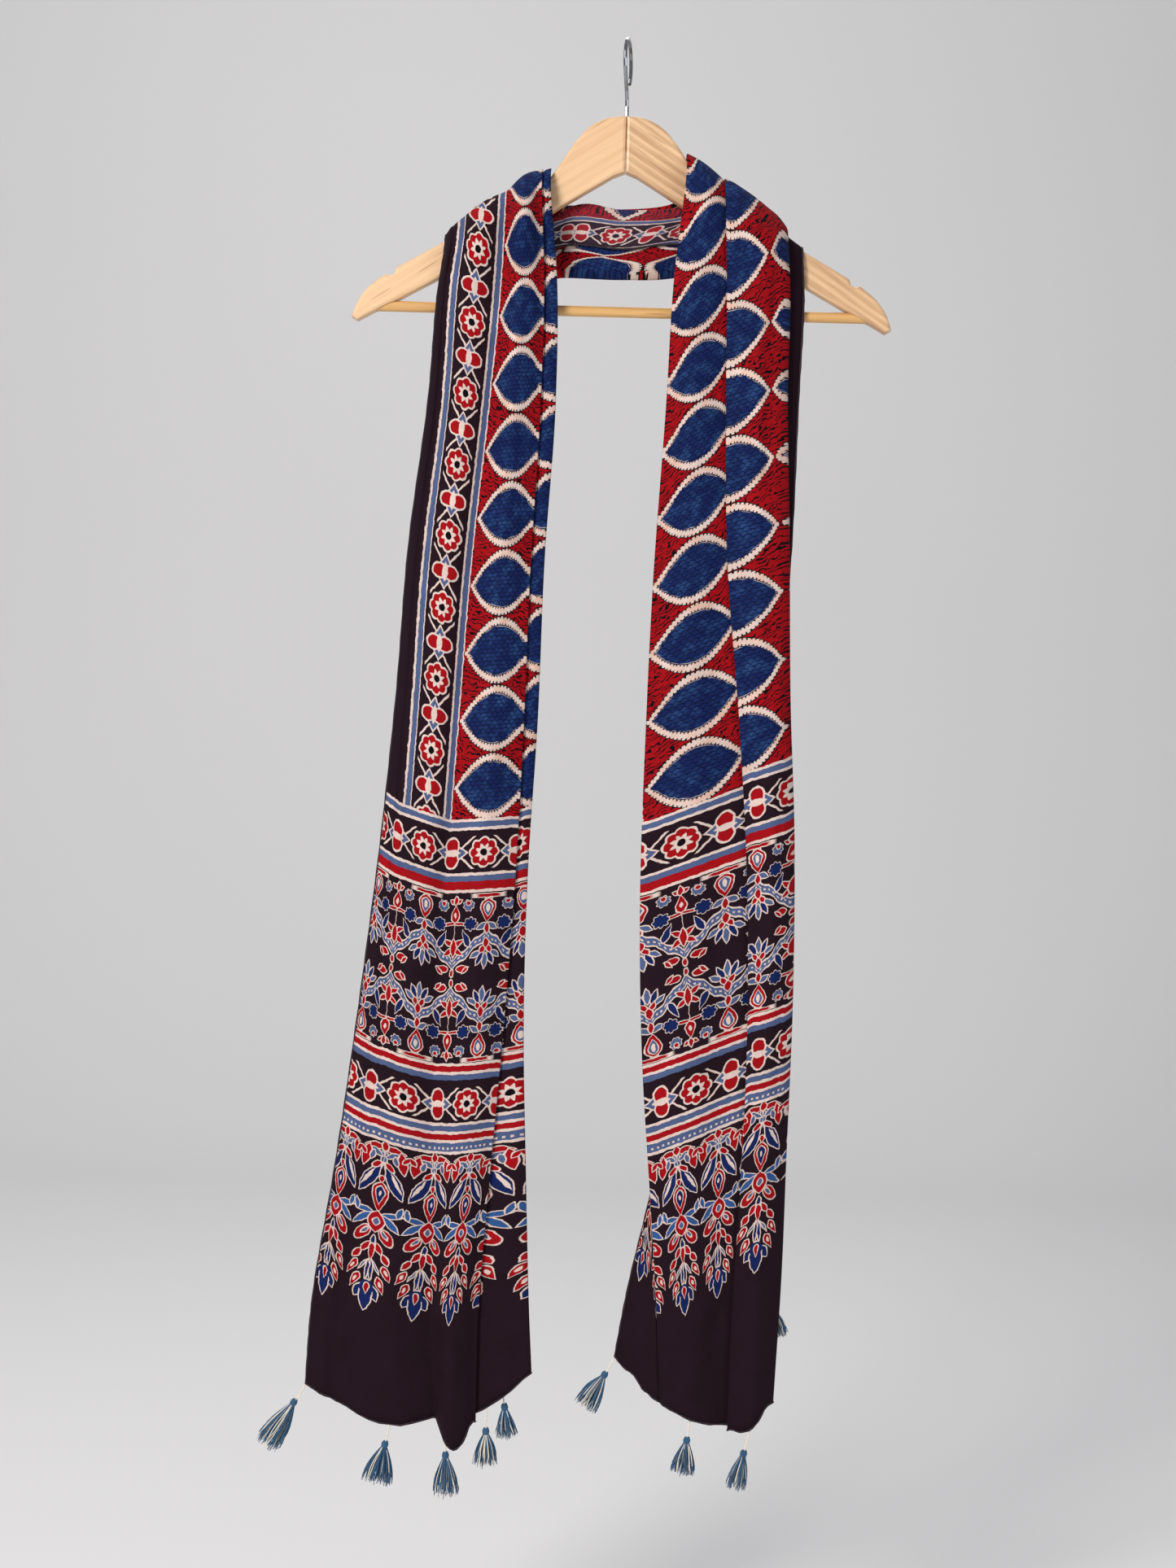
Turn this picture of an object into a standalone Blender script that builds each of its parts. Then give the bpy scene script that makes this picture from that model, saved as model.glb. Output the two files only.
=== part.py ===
"""Block-printed stole with tassels, hung like a scarf on a wooden coat hanger.

Metres, +Z up, +X to the right and -Y towards the front. The origin is the inside top of the hook.
The sizes below are in millimetres and are turned into metres where a point is made.
"""
import math

import bmesh
import bpy
from mathutils import Vector

MM = 0.001

# Hanger
ARM_THICK = 12.0
ARM_EDGE = 2.4
SPLIT_GAP = 0.3
BAR_RADIUS = 4.5
BAR_Z = -226.0
BAR_HALF = 212.0
FIT_GAP = 0.3
# Steps that round the long edges, and steps between neighbouring points of the outline's curves
EDGE_STEPS = 1
CROWN_STEPS = 3
TIP_STEPS = 2
# Outline of one arm, as distance from the middle and height: crown, slope with its notch, tip, underside
ARM_CROWN = [(0, -63), (16, -65), (31, -73), (44, -88), (54, -104), (66, -121)]
ARM_SLOPE = [(95, -140), (150, -172), (186, -192.5), (189, -194.5), (190.5, -199), (194, -201),
             (198, -200), (199.5, -201)]
ARM_TIP = [(199.5, -201), (212, -211), (221, -224), (225, -236)]
ARM_UNDERSIDE = [(220, -239), (206, -231), (154, -203), (54, -141)]
ARM_NECK = [(10, -114), (0, -110)]
BAR_SIDES = 20
BORE_SIDES = 24
BORE_LENGTH = 60.0

# Hook
WIRE_RADIUS = 1.6
CURL_RADIUS = 19.0
WIRE_STEPS = 2
SHANK_END = -92.0
# Shank and swell before the curl: distance to the front and height
HOOK_SHANK = [(0.0, SHANK_END), (0.0, -80.0), (0.0, -66.0), (0.0, -54.0), (1.2, -49.0), (5.2, -42.0),
              (11.0, -35.0)]
HOOK_TURN = math.radians(8.0)
# The curl, as angles from the front over the top to the tip behind
CURL_START = math.radians(-24.0)
CURL_END = math.radians(228.0)
CURL_STEPS = 14

# Stole
CLOTH_THICK = 1.0
EDGE_CLEAR = 2.0
SEAT = 0.9
# Where the cloth rests on each arm: distance from the middle and height, near the crown and far out
REST_LEFT = ((62, -115.0), (150, -171.5))
REST_RIGHT = ((52, -101.0), (150, -171.5))
FOLD_LEAD = 1.4
FOLD_ROUND = 0.35
# Depth of the layer next to the wood, and how much its own weight presses the pile above it on top of the arm
INNERMOST = 1.0
SQUEEZE = 0.48

# Nine lines run the whole length of the cloth, and every table of lines has them in this order:
# selvedge, turn, valley, front, tuck, inner, back_a, back_b, far
# Steps across the cloth between neighbouring lines
STEPS = (2, 3, 4, 1, 4, 2, 2, 2)

# Distance out from the wood just before and just after each line
DEPTH_LEFT = [(5, 5), (13, 13), (12, 12), (15, 12.5), (12.5, 10), (10, 7), (7, 4), (4, 1), (1, 1)]
DEPTH_TOP = [(5, 5), (13, 13), (14, 14), (15, 12), (12, 9.8), (9.8, 7), (7, 4), (4, 1), (1, 1)]
DEPTH_WRAP = [(1, 1), (1, 4), (4, 15), (15, 13.5), (13.5, 12), (12, 10.5), (10.5, 8.6), (8.6, 6.8), (6.8, 6.8)]
DEPTH_NAPE = [(1, 1), (1, 3.5), (3.5, 16), (16, 14), (14, 12), (12, 9.8), (9.6, 9.2), (7.2, 6.8), (6.6, 6.6)]
DEPTH_RIGHT = [(1, 1), (1, 3.5), (3.5, 15), (15, 12.5), (12.5, 10), (10, 7.2), (7, 7), (6.8, 6.8), (6.5, 6.5)]
DEPTH_LOOSE = [(1, 1), (1, 3.5), (3.5, 15), (15, 12.5), (12.5, 10), (10, 7.2), (6, 6), (4, 4), (1, 1)]
DEPTH_TURNING = [(1, 1), (1, 3.5), (3.5, 15), (15, 12.5), (12.5, 10), (10, 7), (1, 1), (-8, -8), (-18, -18)]
DEPTH_OPEN = [(1, 1), (1, 3.5), (3.5, 15), (15, 12.5), (12.5, 10), (10, 8), (3, 3), (-4, -4), (-11, -11)]

# How far each layer swells out between its lines, and where on its width that starts
SWELL_LEFT = (4.0, 8.0, 10.0, 0.0, 0.6, 0.0, 0.0, 0.0)
SWELL_RIGHT = (0.0, 0.0, 6.0, 0.0, 6.0, 0.0, 0.0, 0.0)
SWELL_START = (0.0, 0.0, 0.0, 0.0, 0.32, 0.0, 0.0, 0.0)
# How far each layer's hem hangs below the straight way between its lines
DROP_LEFT = (0.0, 10.0, 22.0, 0.0, 5.0, 0.0, 0.0, 0.0)
DROP_RIGHT = (0.0, 0.0, 9.0, 0.0, 5.0, 0.0, 3.0, 2.0)
NONE = (0.0,) * 8

# Left panel, hem first: x of each line
#          selvedge turn valley front tuck inner back_a back_b far
LEFT_X = [(-239, -212, -131, -98, -112, -53, -190, -75, -170),
          (-235, -208, -136, -98, -112, -57, -190, -78, -168),
          (-219, -196, -139, -92, -104, -62, -182, -80, -160),
          (-204, -184, -138, -84, -95, -67, -172, -82, -152),
          (-190, -174, -133, -77, -87, -67, -162, -80, -146),
          (-179, -166, -126, -73, -83, -62, -155, -76, -140),
          (-172, -160, -119, -71, -81, -60, -150, -74, -136),
          (-158, -147, -107, -66, -76, -54, -138, -66, -124),
          (-153, -143, -100, -66, -75, -56, -134, -66, -118)]
# Height of each line at the same stations
LEFT_Z = [(-1124, -1136, -1148, -1150, -1150, -1110, -1120, -1128, -1118),
          (-1052, -1058, -1064, -1062, -1058, -1050, -1052, -1054, -1050),
          (-942, -950, -956, -955, -952, -946, -946, -948, -944),
          (-820, -828, -838, -836, -832, -826, -826, -826, -824),
          (-688, -696, -708, -706, -702, -698, -698, -698, -696),
          (-556, -562, -574, -573, -570, -566, -566, -566, -564),
          (-432, -436, -446, -446, -444, -440, -440, -440, -438),
          (-298, -300, -304, -304, -302, -300, -300, -300, -300),
          (-214, -212, -206, -200, -200, -198, -206, -200, -206)]
# Right panel, shoulder first
RIGHT_X = [(151, 60, 135, 87, 101, 44, 60, 75, 89),
           (149, 58, 135, 89, 104, 40, 57, 73, 88),
           (146, 52, 140, 94, 110, 33, 52, 70, 86),
           (141, 50, 144, 107, 122, 30, 50, 70, 88),
           (145, 62, 151, 117, 131, 29, 45, 62, 78),
           (147, 72, 153, 120, 133, 34, 45, 54, 62),
           (146, 76, 151, 117, 130, 44, 48, 48, 46),
           (144, 74, 149, 113, 126, 52, 48, 39, 27),
           (142, 78, 145, 112, 124, 58, 48, 33, 17)]
RIGHT_Z = [(-214, -200, -212, -200, -204, -196, -198, -200, -202),
           (-290, -296, -290, -300, -298, -302, -300, -298, -296),
           (-420, -436, -424, -440, -436, -448, -444, -440, -438),
           (-535, -560, -544, -568, -562, -578, -574, -570, -566),
           (-655, -694, -670, -706, -698, -716, -712, -708, -704),
           (-775, -824, -800, -838, -830, -846, -842, -838, -834),
           (-885, -946, -925, -962, -954, -966, -962, -958, -952),
           (-975, -1050, -1036, -1068, -1060, -1066, -1060, -1052, -1040),
           (-1040, -1112, -1129, -1151, -1148, -1134, -1128, -1112, -1099)]
RIGHT_DEPTHS = [DEPTH_RIGHT] * 5 + [DEPTH_LOOSE] + [DEPTH_TURNING, DEPTH_OPEN, DEPTH_OPEN]
# Across the shoulders: x of each line on top of the arm
LEFT_TOP_X = (-148, -138, -98, -70, -78, -63, -132, -72, -112)
LEFT_BEHIND_X = (-146, -140, -112, -74, -82, -65, -100, -75, -94)
RIGHT_TOP_X = (149, 64, 132, 84, 98, 52, 66, 78, 90)
# How far round the arm each shoulder station lies, in degrees from the front
SHOULDER_TURNS = (0, 45, 90, 135, 180)
# Behind the neck: height of each line, then x of each line
NAPE_Z = [(-184, -172, -192, -146, -157, -134, -161, -145, -160),
          (-169, -137, -190, -143, -158, -134, -147, -148, -161),
          (-171, -139, -191, -145, -160, -137, -146, -151, -156),
          (-166, -135, -187, -140, -156, -130, -139, -145, -150)]
NAPE_X = [(-96, -94, -92, -80, -82, -70, -80, -73, -80),
          (-48, -44, -48, -44, -45, -42, -43, -44, -45),
          (0, 0, 0, 0, 0, 0, 0, 0, 0),
          (52, 46, 50, 46, 47, 43, 44, 45, 46)]
NAPE_DEPTHS = (DEPTH_WRAP, DEPTH_NAPE, DEPTH_RIGHT, DEPTH_RIGHT)
# Rows of faces laid between one station and the next
PANEL_ROWS = 3
SHOULDER_ROWS = 1
NAPE_ROWS = 3

# Tassels: name, line it hangs near, share of the way to the next line, lean in x and y, cord, skirt, spread
TASSELS = [("tassel_l1", 0, 0.0, (-0.62, -0.05), 18, 40, 11),
           ("tassel_l2", 1, 0.55, (-0.20, -0.06), 17, 30, 13),
           ("tassel_l3", 2, 0.3, (0.05, -0.04), 10, 31, 11),
           ("tassel_l4", 4, 0.4, (0.00, 0.08), 20, 27, 10),
           ("tassel_l5", 7, 0.0, (0.12, 0.10), 12, 24, 9),
           ("tassel_r1", 8, 0.0, (-0.55, -0.05), 17, 30, 11),
           ("tassel_r2", 4, 0.67, (-0.12, -0.06), 17, 26, 10),
           ("tassel_r3", 2, 0.5, (-0.22, -0.04), 19, 28, 9),
           ("tassel_r4", 0, 0.0, (0.36, 0.42), 14, 28, 7)]
HEAD_RADIUS = 3.0
# Faces of the head that point further down than this carry strands, each set in by this much
SKIRT_FACES = -0.42
STRAND_GAP = 0.22
# Halfway down and at the end: how far in the strands stay, share of the skirt, share of the spread, width
STRAND_PATH = [(0.9, 0.45, 0.62, 0.95), (0.8, 1.0, 1.0, 0.62)]
# The cord leaves the head this many head radii up and sags by this much
CORD_START = 1.6
CORD_SAG = 1.0

COLOURS = {
    "wood": (0.72, 0.49, 0.28, 1.0),
    "bar": (0.60, 0.35, 0.12, 1.0),
    "chrome": (0.80, 0.80, 0.82, 1.0),
    "cloth": (0.30, 0.03, 0.05, 1.0),
    "tassel": (0.03, 0.14, 0.28, 1.0),
}


def clear_scene():
    for old in list(bpy.data.objects):
        bpy.data.objects.remove(old, do_unlink=True)


def new_collection(name):
    made = bpy.data.collections.new(name)
    bpy.context.scene.collection.children.link(made)
    return made


def make_material(name, colour, roughness, metallic):
    made = bpy.data.materials.new(name)
    made.use_nodes = True
    shader = made.node_tree.nodes["Principled BSDF"]
    shader.inputs["Base Color"].default_value = colour
    shader.inputs["Roughness"].default_value = roughness
    shader.inputs["Metallic"].default_value = metallic
    return made


def add_object(name, data, collection, material):
    made = bpy.data.objects.new(name, data)
    collection.objects.link(made)
    if material:
        data.materials.append(material)
    return made


def smooth_line(points, steps):
    """A smooth run through the points, with the given number of steps on each span."""
    path = [Vector((*p, 0.0)) if len(p) == 2 else Vector(p) for p in points]
    ends = [path[0] * 2 - path[1]] + path + [path[-1] * 2 - path[-2]]
    counts = steps if isinstance(steps, (list, tuple)) else [steps] * (len(path) - 1)
    run = []
    for i, count in enumerate(counts):
        a, b, c, d = ends[i:i + 4]
        for j in range(count):
            t = j / count
            run.append(0.5 * ((2 * b) + (c - a) * t + (2 * a - 5 * b + 4 * c - d) * t * t
                              + (3 * b - a - 3 * c + d) * t ** 3))
    run.append(path[-1])
    return run


def curve_mesh(name, curve, turn=None):
    """The mesh of a bevelled curve with its caps welded on."""
    guide = bpy.data.objects.new(name + "_curve", curve)
    bpy.context.scene.collection.objects.link(guide)
    if turn:
        guide.rotation_euler = turn
    bpy.context.view_layer.update()
    evaluated = guide.evaluated_get(bpy.context.evaluated_depsgraph_get())
    made = bpy.data.meshes.new_from_object(evaluated)
    made.transform(guide.matrix_world)
    bpy.data.objects.remove(guide, do_unlink=True)
    shape = bmesh.new()
    shape.from_mesh(made)
    bmesh.ops.remove_doubles(shape, verts=shape.verts, dist=0.00002)
    bmesh.ops.recalc_face_normals(shape, faces=shape.faces)
    shape.to_mesh(made)
    shape.free()
    made.name = name
    return made


def tube_mesh(name, points, radius, sides_setting):
    """A round wire along points given in millimetres."""
    curve = bpy.data.curves.new(name, "CURVE")
    curve.dimensions = "3D"
    curve.bevel_depth = radius * MM
    curve.bevel_resolution = sides_setting
    curve.use_fill_caps = True
    spline = curve.splines.new("POLY")
    spline.points.add(len(points) - 1)
    for spot, point in zip(spline.points, points):
        spot.co = (point[0] * MM, point[1] * MM, point[2] * MM, 1.0)
    return curve_mesh(name, curve)


def cut_with(target, cutter):
    """Leaves a live cut on the target."""
    cut = target.modifiers.new("cut_" + cutter.name, "BOOLEAN")
    cut.operation = "DIFFERENCE"
    cut.solver = "EXACT"
    cut.object = cutter


def make_cutter(name, radius, length, centre, rotation, collection):
    bpy.ops.mesh.primitive_cylinder_add(vertices=BORE_SIDES, radius=radius * MM, depth=length * MM,
                                        location=[c * MM for c in centre], rotation=rotation)
    cutter = bpy.context.object
    cutter.name = name
    for home in list(cutter.users_collection):
        home.objects.unlink(cutter)
    collection.objects.link(cutter)
    cutter.hide_render = True
    cutter.display_type = "WIRE"
    return cutter


def make_arm(name, side, collection, cutters, material):
    """One half of the hanger: a flat outline with rounded edges, cut for the bar and the hook."""
    crown = smooth_line(ARM_CROWN, CROWN_STEPS)
    tip = smooth_line(ARM_TIP, TIP_STEPS)[1:]
    underside = smooth_line(ARM_UNDERSIDE, TIP_STEPS)
    outline = [Vector(p) for p in [*crown, *ARM_SLOPE, *tip, *underside, *ARM_NECK]]
    curve = bpy.data.curves.new(name, "CURVE")
    curve.dimensions = "2D"
    curve.fill_mode = "BOTH"
    curve.extrude = (ARM_THICK / 2 - ARM_EDGE) * MM
    curve.bevel_depth = ARM_EDGE * MM
    curve.bevel_resolution = EDGE_STEPS
    curve.offset = -ARM_EDGE * MM
    spline = curve.splines.new("POLY")
    spline.use_cyclic_u = True
    spline.points.add(len(outline) - 1)
    for spot, point in zip(spline.points, outline):
        spot.co = (side * max(point.x, SPLIT_GAP / 2) * MM, point.y * MM, 0.0, 1.0)
    mesh = curve_mesh(name, curve, (math.radians(90), 0, 0))
    arm = add_object(name, mesh, collection, material)
    cut_with(arm, cutters["shank_bore"])
    cut_with(arm, cutters["bar_socket"])
    return arm


def make_bar(collection, material):
    bpy.ops.mesh.primitive_cylinder_add(vertices=BAR_SIDES, radius=BAR_RADIUS * MM, depth=2 * BAR_HALF * MM,
                                        location=(0, 0, BAR_Z * MM), rotation=(0, math.radians(90), 0))
    bar = bpy.context.object
    bar.name = "hanger_bar"
    for home in list(bar.users_collection):
        home.objects.unlink(bar)
    collection.objects.link(bar)
    bar.data.materials.append(material)
    return bar


def hook_path():
    """Shank, swell towards the front, curl over the top and tip behind, in the hook's own plane."""
    centre = -CURL_RADIUS + WIRE_RADIUS
    plane = list(HOOK_SHANK)
    for i in range(CURL_STEPS + 1):
        angle = CURL_START + (CURL_END - CURL_START) * i / CURL_STEPS
        plane.append((CURL_RADIUS * math.cos(angle), centre + CURL_RADIUS * math.sin(angle)))
    return [(-p * math.sin(HOOK_TURN), -p * math.cos(HOOK_TURN), z) for p, z in plane]


def make_hook(collection, material):
    mesh = tube_mesh("hook", hook_path(), WIRE_RADIUS, WIRE_STEPS)
    return add_object("hook", mesh, collection, material)


def rest_height(x):
    """Height of the straight line that the cloth takes over one shoulder."""
    (near, high), (out, low) = REST_LEFT if x < 0 else REST_RIGHT
    return high + (abs(x) - near) * (low - high) / (out - near)


def rest_lift(x, lift):
    """How far up a point moves to stand off that line by lift."""
    slope = rest_height(x) - rest_height(x + 1.0)
    return lift * math.sqrt(1 + slope * slope)


def panel_point(x, depth, z):
    return Vector((x, -(ARM_THICK / 2 + EDGE_CLEAR + depth), z))


def shoulder_point(x, depth, turn):
    """A place on the way over the arm: an oval round its upper edge."""
    angle = math.radians(turn)
    pressed = INNERMOST + (depth - INNERMOST) * (1 - SQUEEZE * math.sin(angle))
    half = ARM_THICK / 2 + EDGE_CLEAR + pressed
    rise = ARM_THICK / 2 + rest_lift(x, SEAT + pressed)
    return Vector((x, -half * math.cos(angle), rest_height(x) - ARM_THICK / 2 + rise * math.sin(angle)))


def nape_point(x, depth, z):
    return Vector((x, ARM_THICK / 2 + EDGE_CLEAR + depth, z))


def stations():
    """Each station along the cloth: how its points are placed, its lines, its swells and its drops."""
    rows = []
    for i, (xs, zs) in enumerate(zip(LEFT_X, LEFT_Z)):
        drops = DROP_LEFT if i == 0 else NONE
        rows.append((panel_point, line_ends(xs, zs, DEPTH_LEFT), SWELL_LEFT, drops))
    for turn in SHOULDER_TURNS:
        share = max(0.0, turn / 90 - 1)
        xs = [top + (behind - top) * share for top, behind in zip(LEFT_TOP_X, LEFT_BEHIND_X)]
        ends = line_ends(xs, [turn] * len(xs), DEPTH_TOP)
        rows.append((shoulder_point, ends, faded(SWELL_LEFT, turn), NONE))
    for xs, zs, depths in zip(NAPE_X, NAPE_Z, NAPE_DEPTHS):
        rows.append((nape_point, line_ends(xs, zs, depths), NONE, NONE))
    for turn in reversed(SHOULDER_TURNS):
        ends = line_ends(RIGHT_TOP_X, [turn] * len(RIGHT_TOP_X), DEPTH_RIGHT)
        rows.append((shoulder_point, ends, faded(SWELL_RIGHT, turn), NONE))
    for i, (xs, zs, depths) in enumerate(zip(RIGHT_X, RIGHT_Z, RIGHT_DEPTHS)):
        drops = DROP_RIGHT if i == len(RIGHT_X) - 1 else NONE
        rows.append((panel_point, line_ends(xs, zs, depths), SWELL_RIGHT, drops))
    return rows


def faded(swells, turn):
    """The swells at a turn over the arm, gone from its top onwards."""
    return [s * max(0.0, math.cos(math.radians(turn))) for s in swells]


def line_ends(xs, heights, depths):
    """The point just before and just after every line, as place, depth and height or turn."""
    return [(Vector((x, d[0], h)), Vector((x, d[1], h))) for x, h, d in zip(xs, heights, depths)]


def fold_lead(start, stop):
    """How far the rounded turn at a line reaches along a layer."""
    return min(FOLD_LEAD, FOLD_ROUND * (stop - start).length)


def proud_at(station, line, share):
    """How far a layer swells out and hangs down at a share of its width."""
    _, _, swells, drops = station
    start = SWELL_START[line]
    inside = max(0.0, (share - start) / (1 - start))
    return Vector((0, swells[line] * math.sin(math.pi * inside), -drops[line] * math.sin(math.pi * share)))


def across(station):
    """All points across the cloth at one station, with a rounded turn at each line."""
    place, row = station[:2]
    points = []
    last = len(row) - 1
    for k, (before, after) in enumerate(row):
        if k > 0:
            into = (before - row[k - 1][1]).normalized()
        if k < last:
            out = (row[k + 1][0] - after).normalized()
        if k == 0:
            points.append(after)
            continue
        start = points[-1]
        lead = fold_lead(row[k - 1][1], before)
        stop = before if k == last else before - into * lead
        for j in range(1, STEPS[k - 1]):
            share = j / STEPS[k - 1]
            points.append(start.lerp(stop, share) + proud_at(station, k - 1, share))
        points.append(stop)
        if k < last:
            swell = (before - after).length * FOLD_ROUND
            points.append((before + after) / 2 + (into - out) / 2 * swell)
            points.append(after + out * fold_lead(after, row[k + 1][0]))
    return [place(*point) for point in points]


def station_steps():
    left = [PANEL_ROWS] * (len(LEFT_X) - 1) + [1]
    shoulder = [SHOULDER_ROWS] * (len(SHOULDER_TURNS) - 1)
    nape = [NAPE_ROWS] * (len(NAPE_X) + 1)
    return left + shoulder + nape + shoulder + list(reversed(left))


def cloth_grid():
    """Rows of points, from the left hem to the right hem."""
    sections = [across(row) for row in stations()]
    columns = [smooth_line(list(column), station_steps()) for column in zip(*sections)]
    return [list(row) for row in zip(*columns)]


def make_stole(collection, material):
    """An open sheet lofted between its stations, then thickened."""
    grid = cloth_grid()
    shape = bmesh.new()
    spots = [[shape.verts.new(p * MM) for p in row] for row in grid]
    for low, high in zip(spots, spots[1:]):
        for i in range(len(low) - 1):
            shape.faces.new((low[i], low[i + 1], high[i + 1], high[i]))
    mesh = bpy.data.meshes.new("stole")
    shape.to_mesh(mesh)
    shape.free()
    stole = add_object("stole", mesh, collection, material)
    solid = stole.modifiers.new("thickness", "SOLIDIFY")
    solid.thickness = CLOTH_THICK * MM
    solid.offset = 0.0
    solid.use_even_offset = False
    return stole


def hem_point(station, line, share):
    """The place on a hem's straight steps at a share of the way from one line to the next, in millimetres."""
    place, row = station[:2]
    if share == 0.0:
        return place(*((row[line][0] + row[line][1]) / 2))
    step = int(share * STEPS[line])
    near, far = (row[line][1].lerp(row[line + 1][0], k / STEPS[line]) + proud_at(station, line, k / STEPS[line])
                 for k in (step, step + 1))
    return place(*near.lerp(far, share * STEPS[line] - step))


def grow(shape, faces, targets, scales):
    """Pushes each face out along its own path, narrowing as it goes."""
    for face, path in zip(faces, targets):
        tip = face
        for target, scale in zip(path, scales):
            made = bmesh.ops.extrude_discrete_faces(shape, faces=[tip])
            tip = made["faces"][0]
            centre = tip.calc_center_median()
            for vert in tip.verts:
                vert.co = target + (vert.co - centre) * scale


def make_tassel(spec, hem, collection, material):
    """A cord, a bound head and a skirt of separate strands rooted in the head."""
    name, _, _, lean, cord, skirt, spread = spec
    way = Vector((lean[0], lean[1], -1.0)).normalized()
    top = hem + Vector((0, 0, -1)) * (CLOTH_THICK / 2 + FIT_GAP)
    head = top + way * cord
    shape = bmesh.new()
    bmesh.ops.create_icosphere(shape, subdivisions=2, radius=HEAD_RADIUS)
    turn = Vector((0, 0, -1)).rotation_difference(way)
    skirt_faces = [f for f in shape.faces if f.normal.z < SKIRT_FACES]
    bmesh.ops.inset_individual(shape, faces=skirt_faces, thickness=STRAND_GAP)
    paths = []
    for face in skirt_faces:
        centre = face.calc_center_median()
        aside = Vector((centre.x, centre.y, 0)) / HEAD_RADIUS
        paths.append([centre * near + Vector((0, 0, -skirt * down)) + aside * spread * out
                      for near, down, out, _ in STRAND_PATH])
    grow(shape, skirt_faces, paths, [width for _, _, _, width in STRAND_PATH])
    shape.faces.ensure_lookup_table()
    cap = max(shape.faces, key=lambda f: f.calc_center_median().z)
    bmesh.ops.rotate(shape, verts=shape.verts, cent=(0, 0, 0), matrix=turn.to_matrix())
    bmesh.ops.translate(shape, verts=shape.verts, vec=head)
    bend = (head + top) / 2 + Vector((0, 0, -CORD_SAG))
    grow(shape, [cap], [(head - way * HEAD_RADIUS * CORD_START, bend, top)], (1.0, 1.0, 1.0))
    bmesh.ops.scale(shape, verts=shape.verts, vec=(MM, MM, MM))
    bmesh.ops.recalc_face_normals(shape, faces=shape.faces)
    mesh = bpy.data.meshes.new(name)
    shape.to_mesh(mesh)
    shape.free()
    return add_object(name, mesh, collection, material)


def main():
    clear_scene()
    parts = new_collection("ajrakh_stole_on_hanger")
    cutter_home = new_collection("cutters")
    wood = make_material("wood", COLOURS["wood"], 0.5, 0.0)
    bar_wood = make_material("bar_wood", COLOURS["bar"], 0.45, 0.0)
    chrome = make_material("chrome", COLOURS["chrome"], 0.15, 1.0)
    cloth = make_material("cloth", COLOURS["cloth"], 0.85, 0.0)
    yarn = make_material("yarn", COLOURS["tassel"], 0.8, 0.0)
    cutters = {
        "shank_bore": make_cutter("shank_bore", WIRE_RADIUS + FIT_GAP, BORE_LENGTH,
                                  (0, 0, SHANK_END - FIT_GAP + BORE_LENGTH / 2), (0, 0, 0), cutter_home),
        "bar_socket": make_cutter("bar_socket", BAR_RADIUS + FIT_GAP, 2 * (BAR_HALF + FIT_GAP),
                                  (0, 0, BAR_Z), (0, math.radians(90), 0), cutter_home),
    }
    make_arm("hanger_arm_left", -1, parts, cutters, wood)
    make_arm("hanger_arm_right", 1, parts, cutters, wood)
    make_bar(parts, bar_wood)
    make_hook(parts, chrome)
    make_stole(parts, cloth)
    rows = stations()
    for spec in TASSELS:
        row = rows[0] if spec[0].startswith("tassel_l") else rows[-1]
        make_tassel(spec, hem_point(row, spec[1], spec[2]), parts, yarn)


main()
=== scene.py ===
"""Looks of the block-printed stole on its coat hanger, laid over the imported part.

Metres, +Z up, +X to the right and -Y towards the front, as in the part's own source. The tables
are in millimetres. Places on the print are flat millimetres: u across the cloth from the outer
selvedge of the left panel, v along it from the left hem.
"""
import math
import random

import bmesh
import bpy
import numpy as np
from mathutils import Matrix, Vector

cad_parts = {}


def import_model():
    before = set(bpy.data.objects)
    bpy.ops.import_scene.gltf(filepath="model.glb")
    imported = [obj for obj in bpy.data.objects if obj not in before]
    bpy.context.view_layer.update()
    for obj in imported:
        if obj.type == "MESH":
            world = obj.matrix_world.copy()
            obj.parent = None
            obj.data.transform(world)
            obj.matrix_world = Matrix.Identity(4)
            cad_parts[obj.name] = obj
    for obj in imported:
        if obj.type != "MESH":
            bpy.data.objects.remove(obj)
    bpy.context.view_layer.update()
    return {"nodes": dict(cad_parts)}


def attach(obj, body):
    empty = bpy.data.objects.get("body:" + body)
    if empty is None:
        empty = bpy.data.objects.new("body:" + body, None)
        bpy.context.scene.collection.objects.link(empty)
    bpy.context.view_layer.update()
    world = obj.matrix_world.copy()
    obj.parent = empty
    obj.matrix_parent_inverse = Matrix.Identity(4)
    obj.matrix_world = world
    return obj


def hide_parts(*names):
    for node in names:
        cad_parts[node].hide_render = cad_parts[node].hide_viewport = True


MM = 0.001

# The cloth before it was hung
FLAT_WIDTH = 493.0
FLAT_LENGTH = 2230.0

# Hanger, as in the part's source
ARM_THICK = 12.0
EDGE_CLEAR = 2.0
SEAT = 0.9
INNERMOST = 1.0
SQUEEZE = 0.48
REST_LEFT = ((62, -115.0), (150, -171.5))
REST_RIGHT = ((52, -101.0), (150, -171.5))
FIT_GAP = 0.3

# Sheet
SHEET_THICK = 0.6
CLOTH_THICK = 1.0
FOLD_LEAD = 1.4
FOLD_ROUND = 0.35
HEM_RADIUS = 0.85

# Steps across the cloth between neighbouring lines, and finer steps laid between those points
STEPS = (2, 3, 4, 1, 4, 2, 2, 2)
FINE_ACROSS = 3

# How far each layer swells out between its lines, and where on its width that starts
SWELL_LEFT = (4.0, 8.0, 10.0, 0.0, 0.6, 0.0, 0.0, 0.0)
SWELL_RIGHT = (0.0, 0.0, 6.0, 0.0, 6.0, 0.0, 0.0, 0.0)
SWELL_START = (0.0, 0.0, 0.0, 0.0, 0.32, 0.0, 0.0, 0.0)
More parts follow.
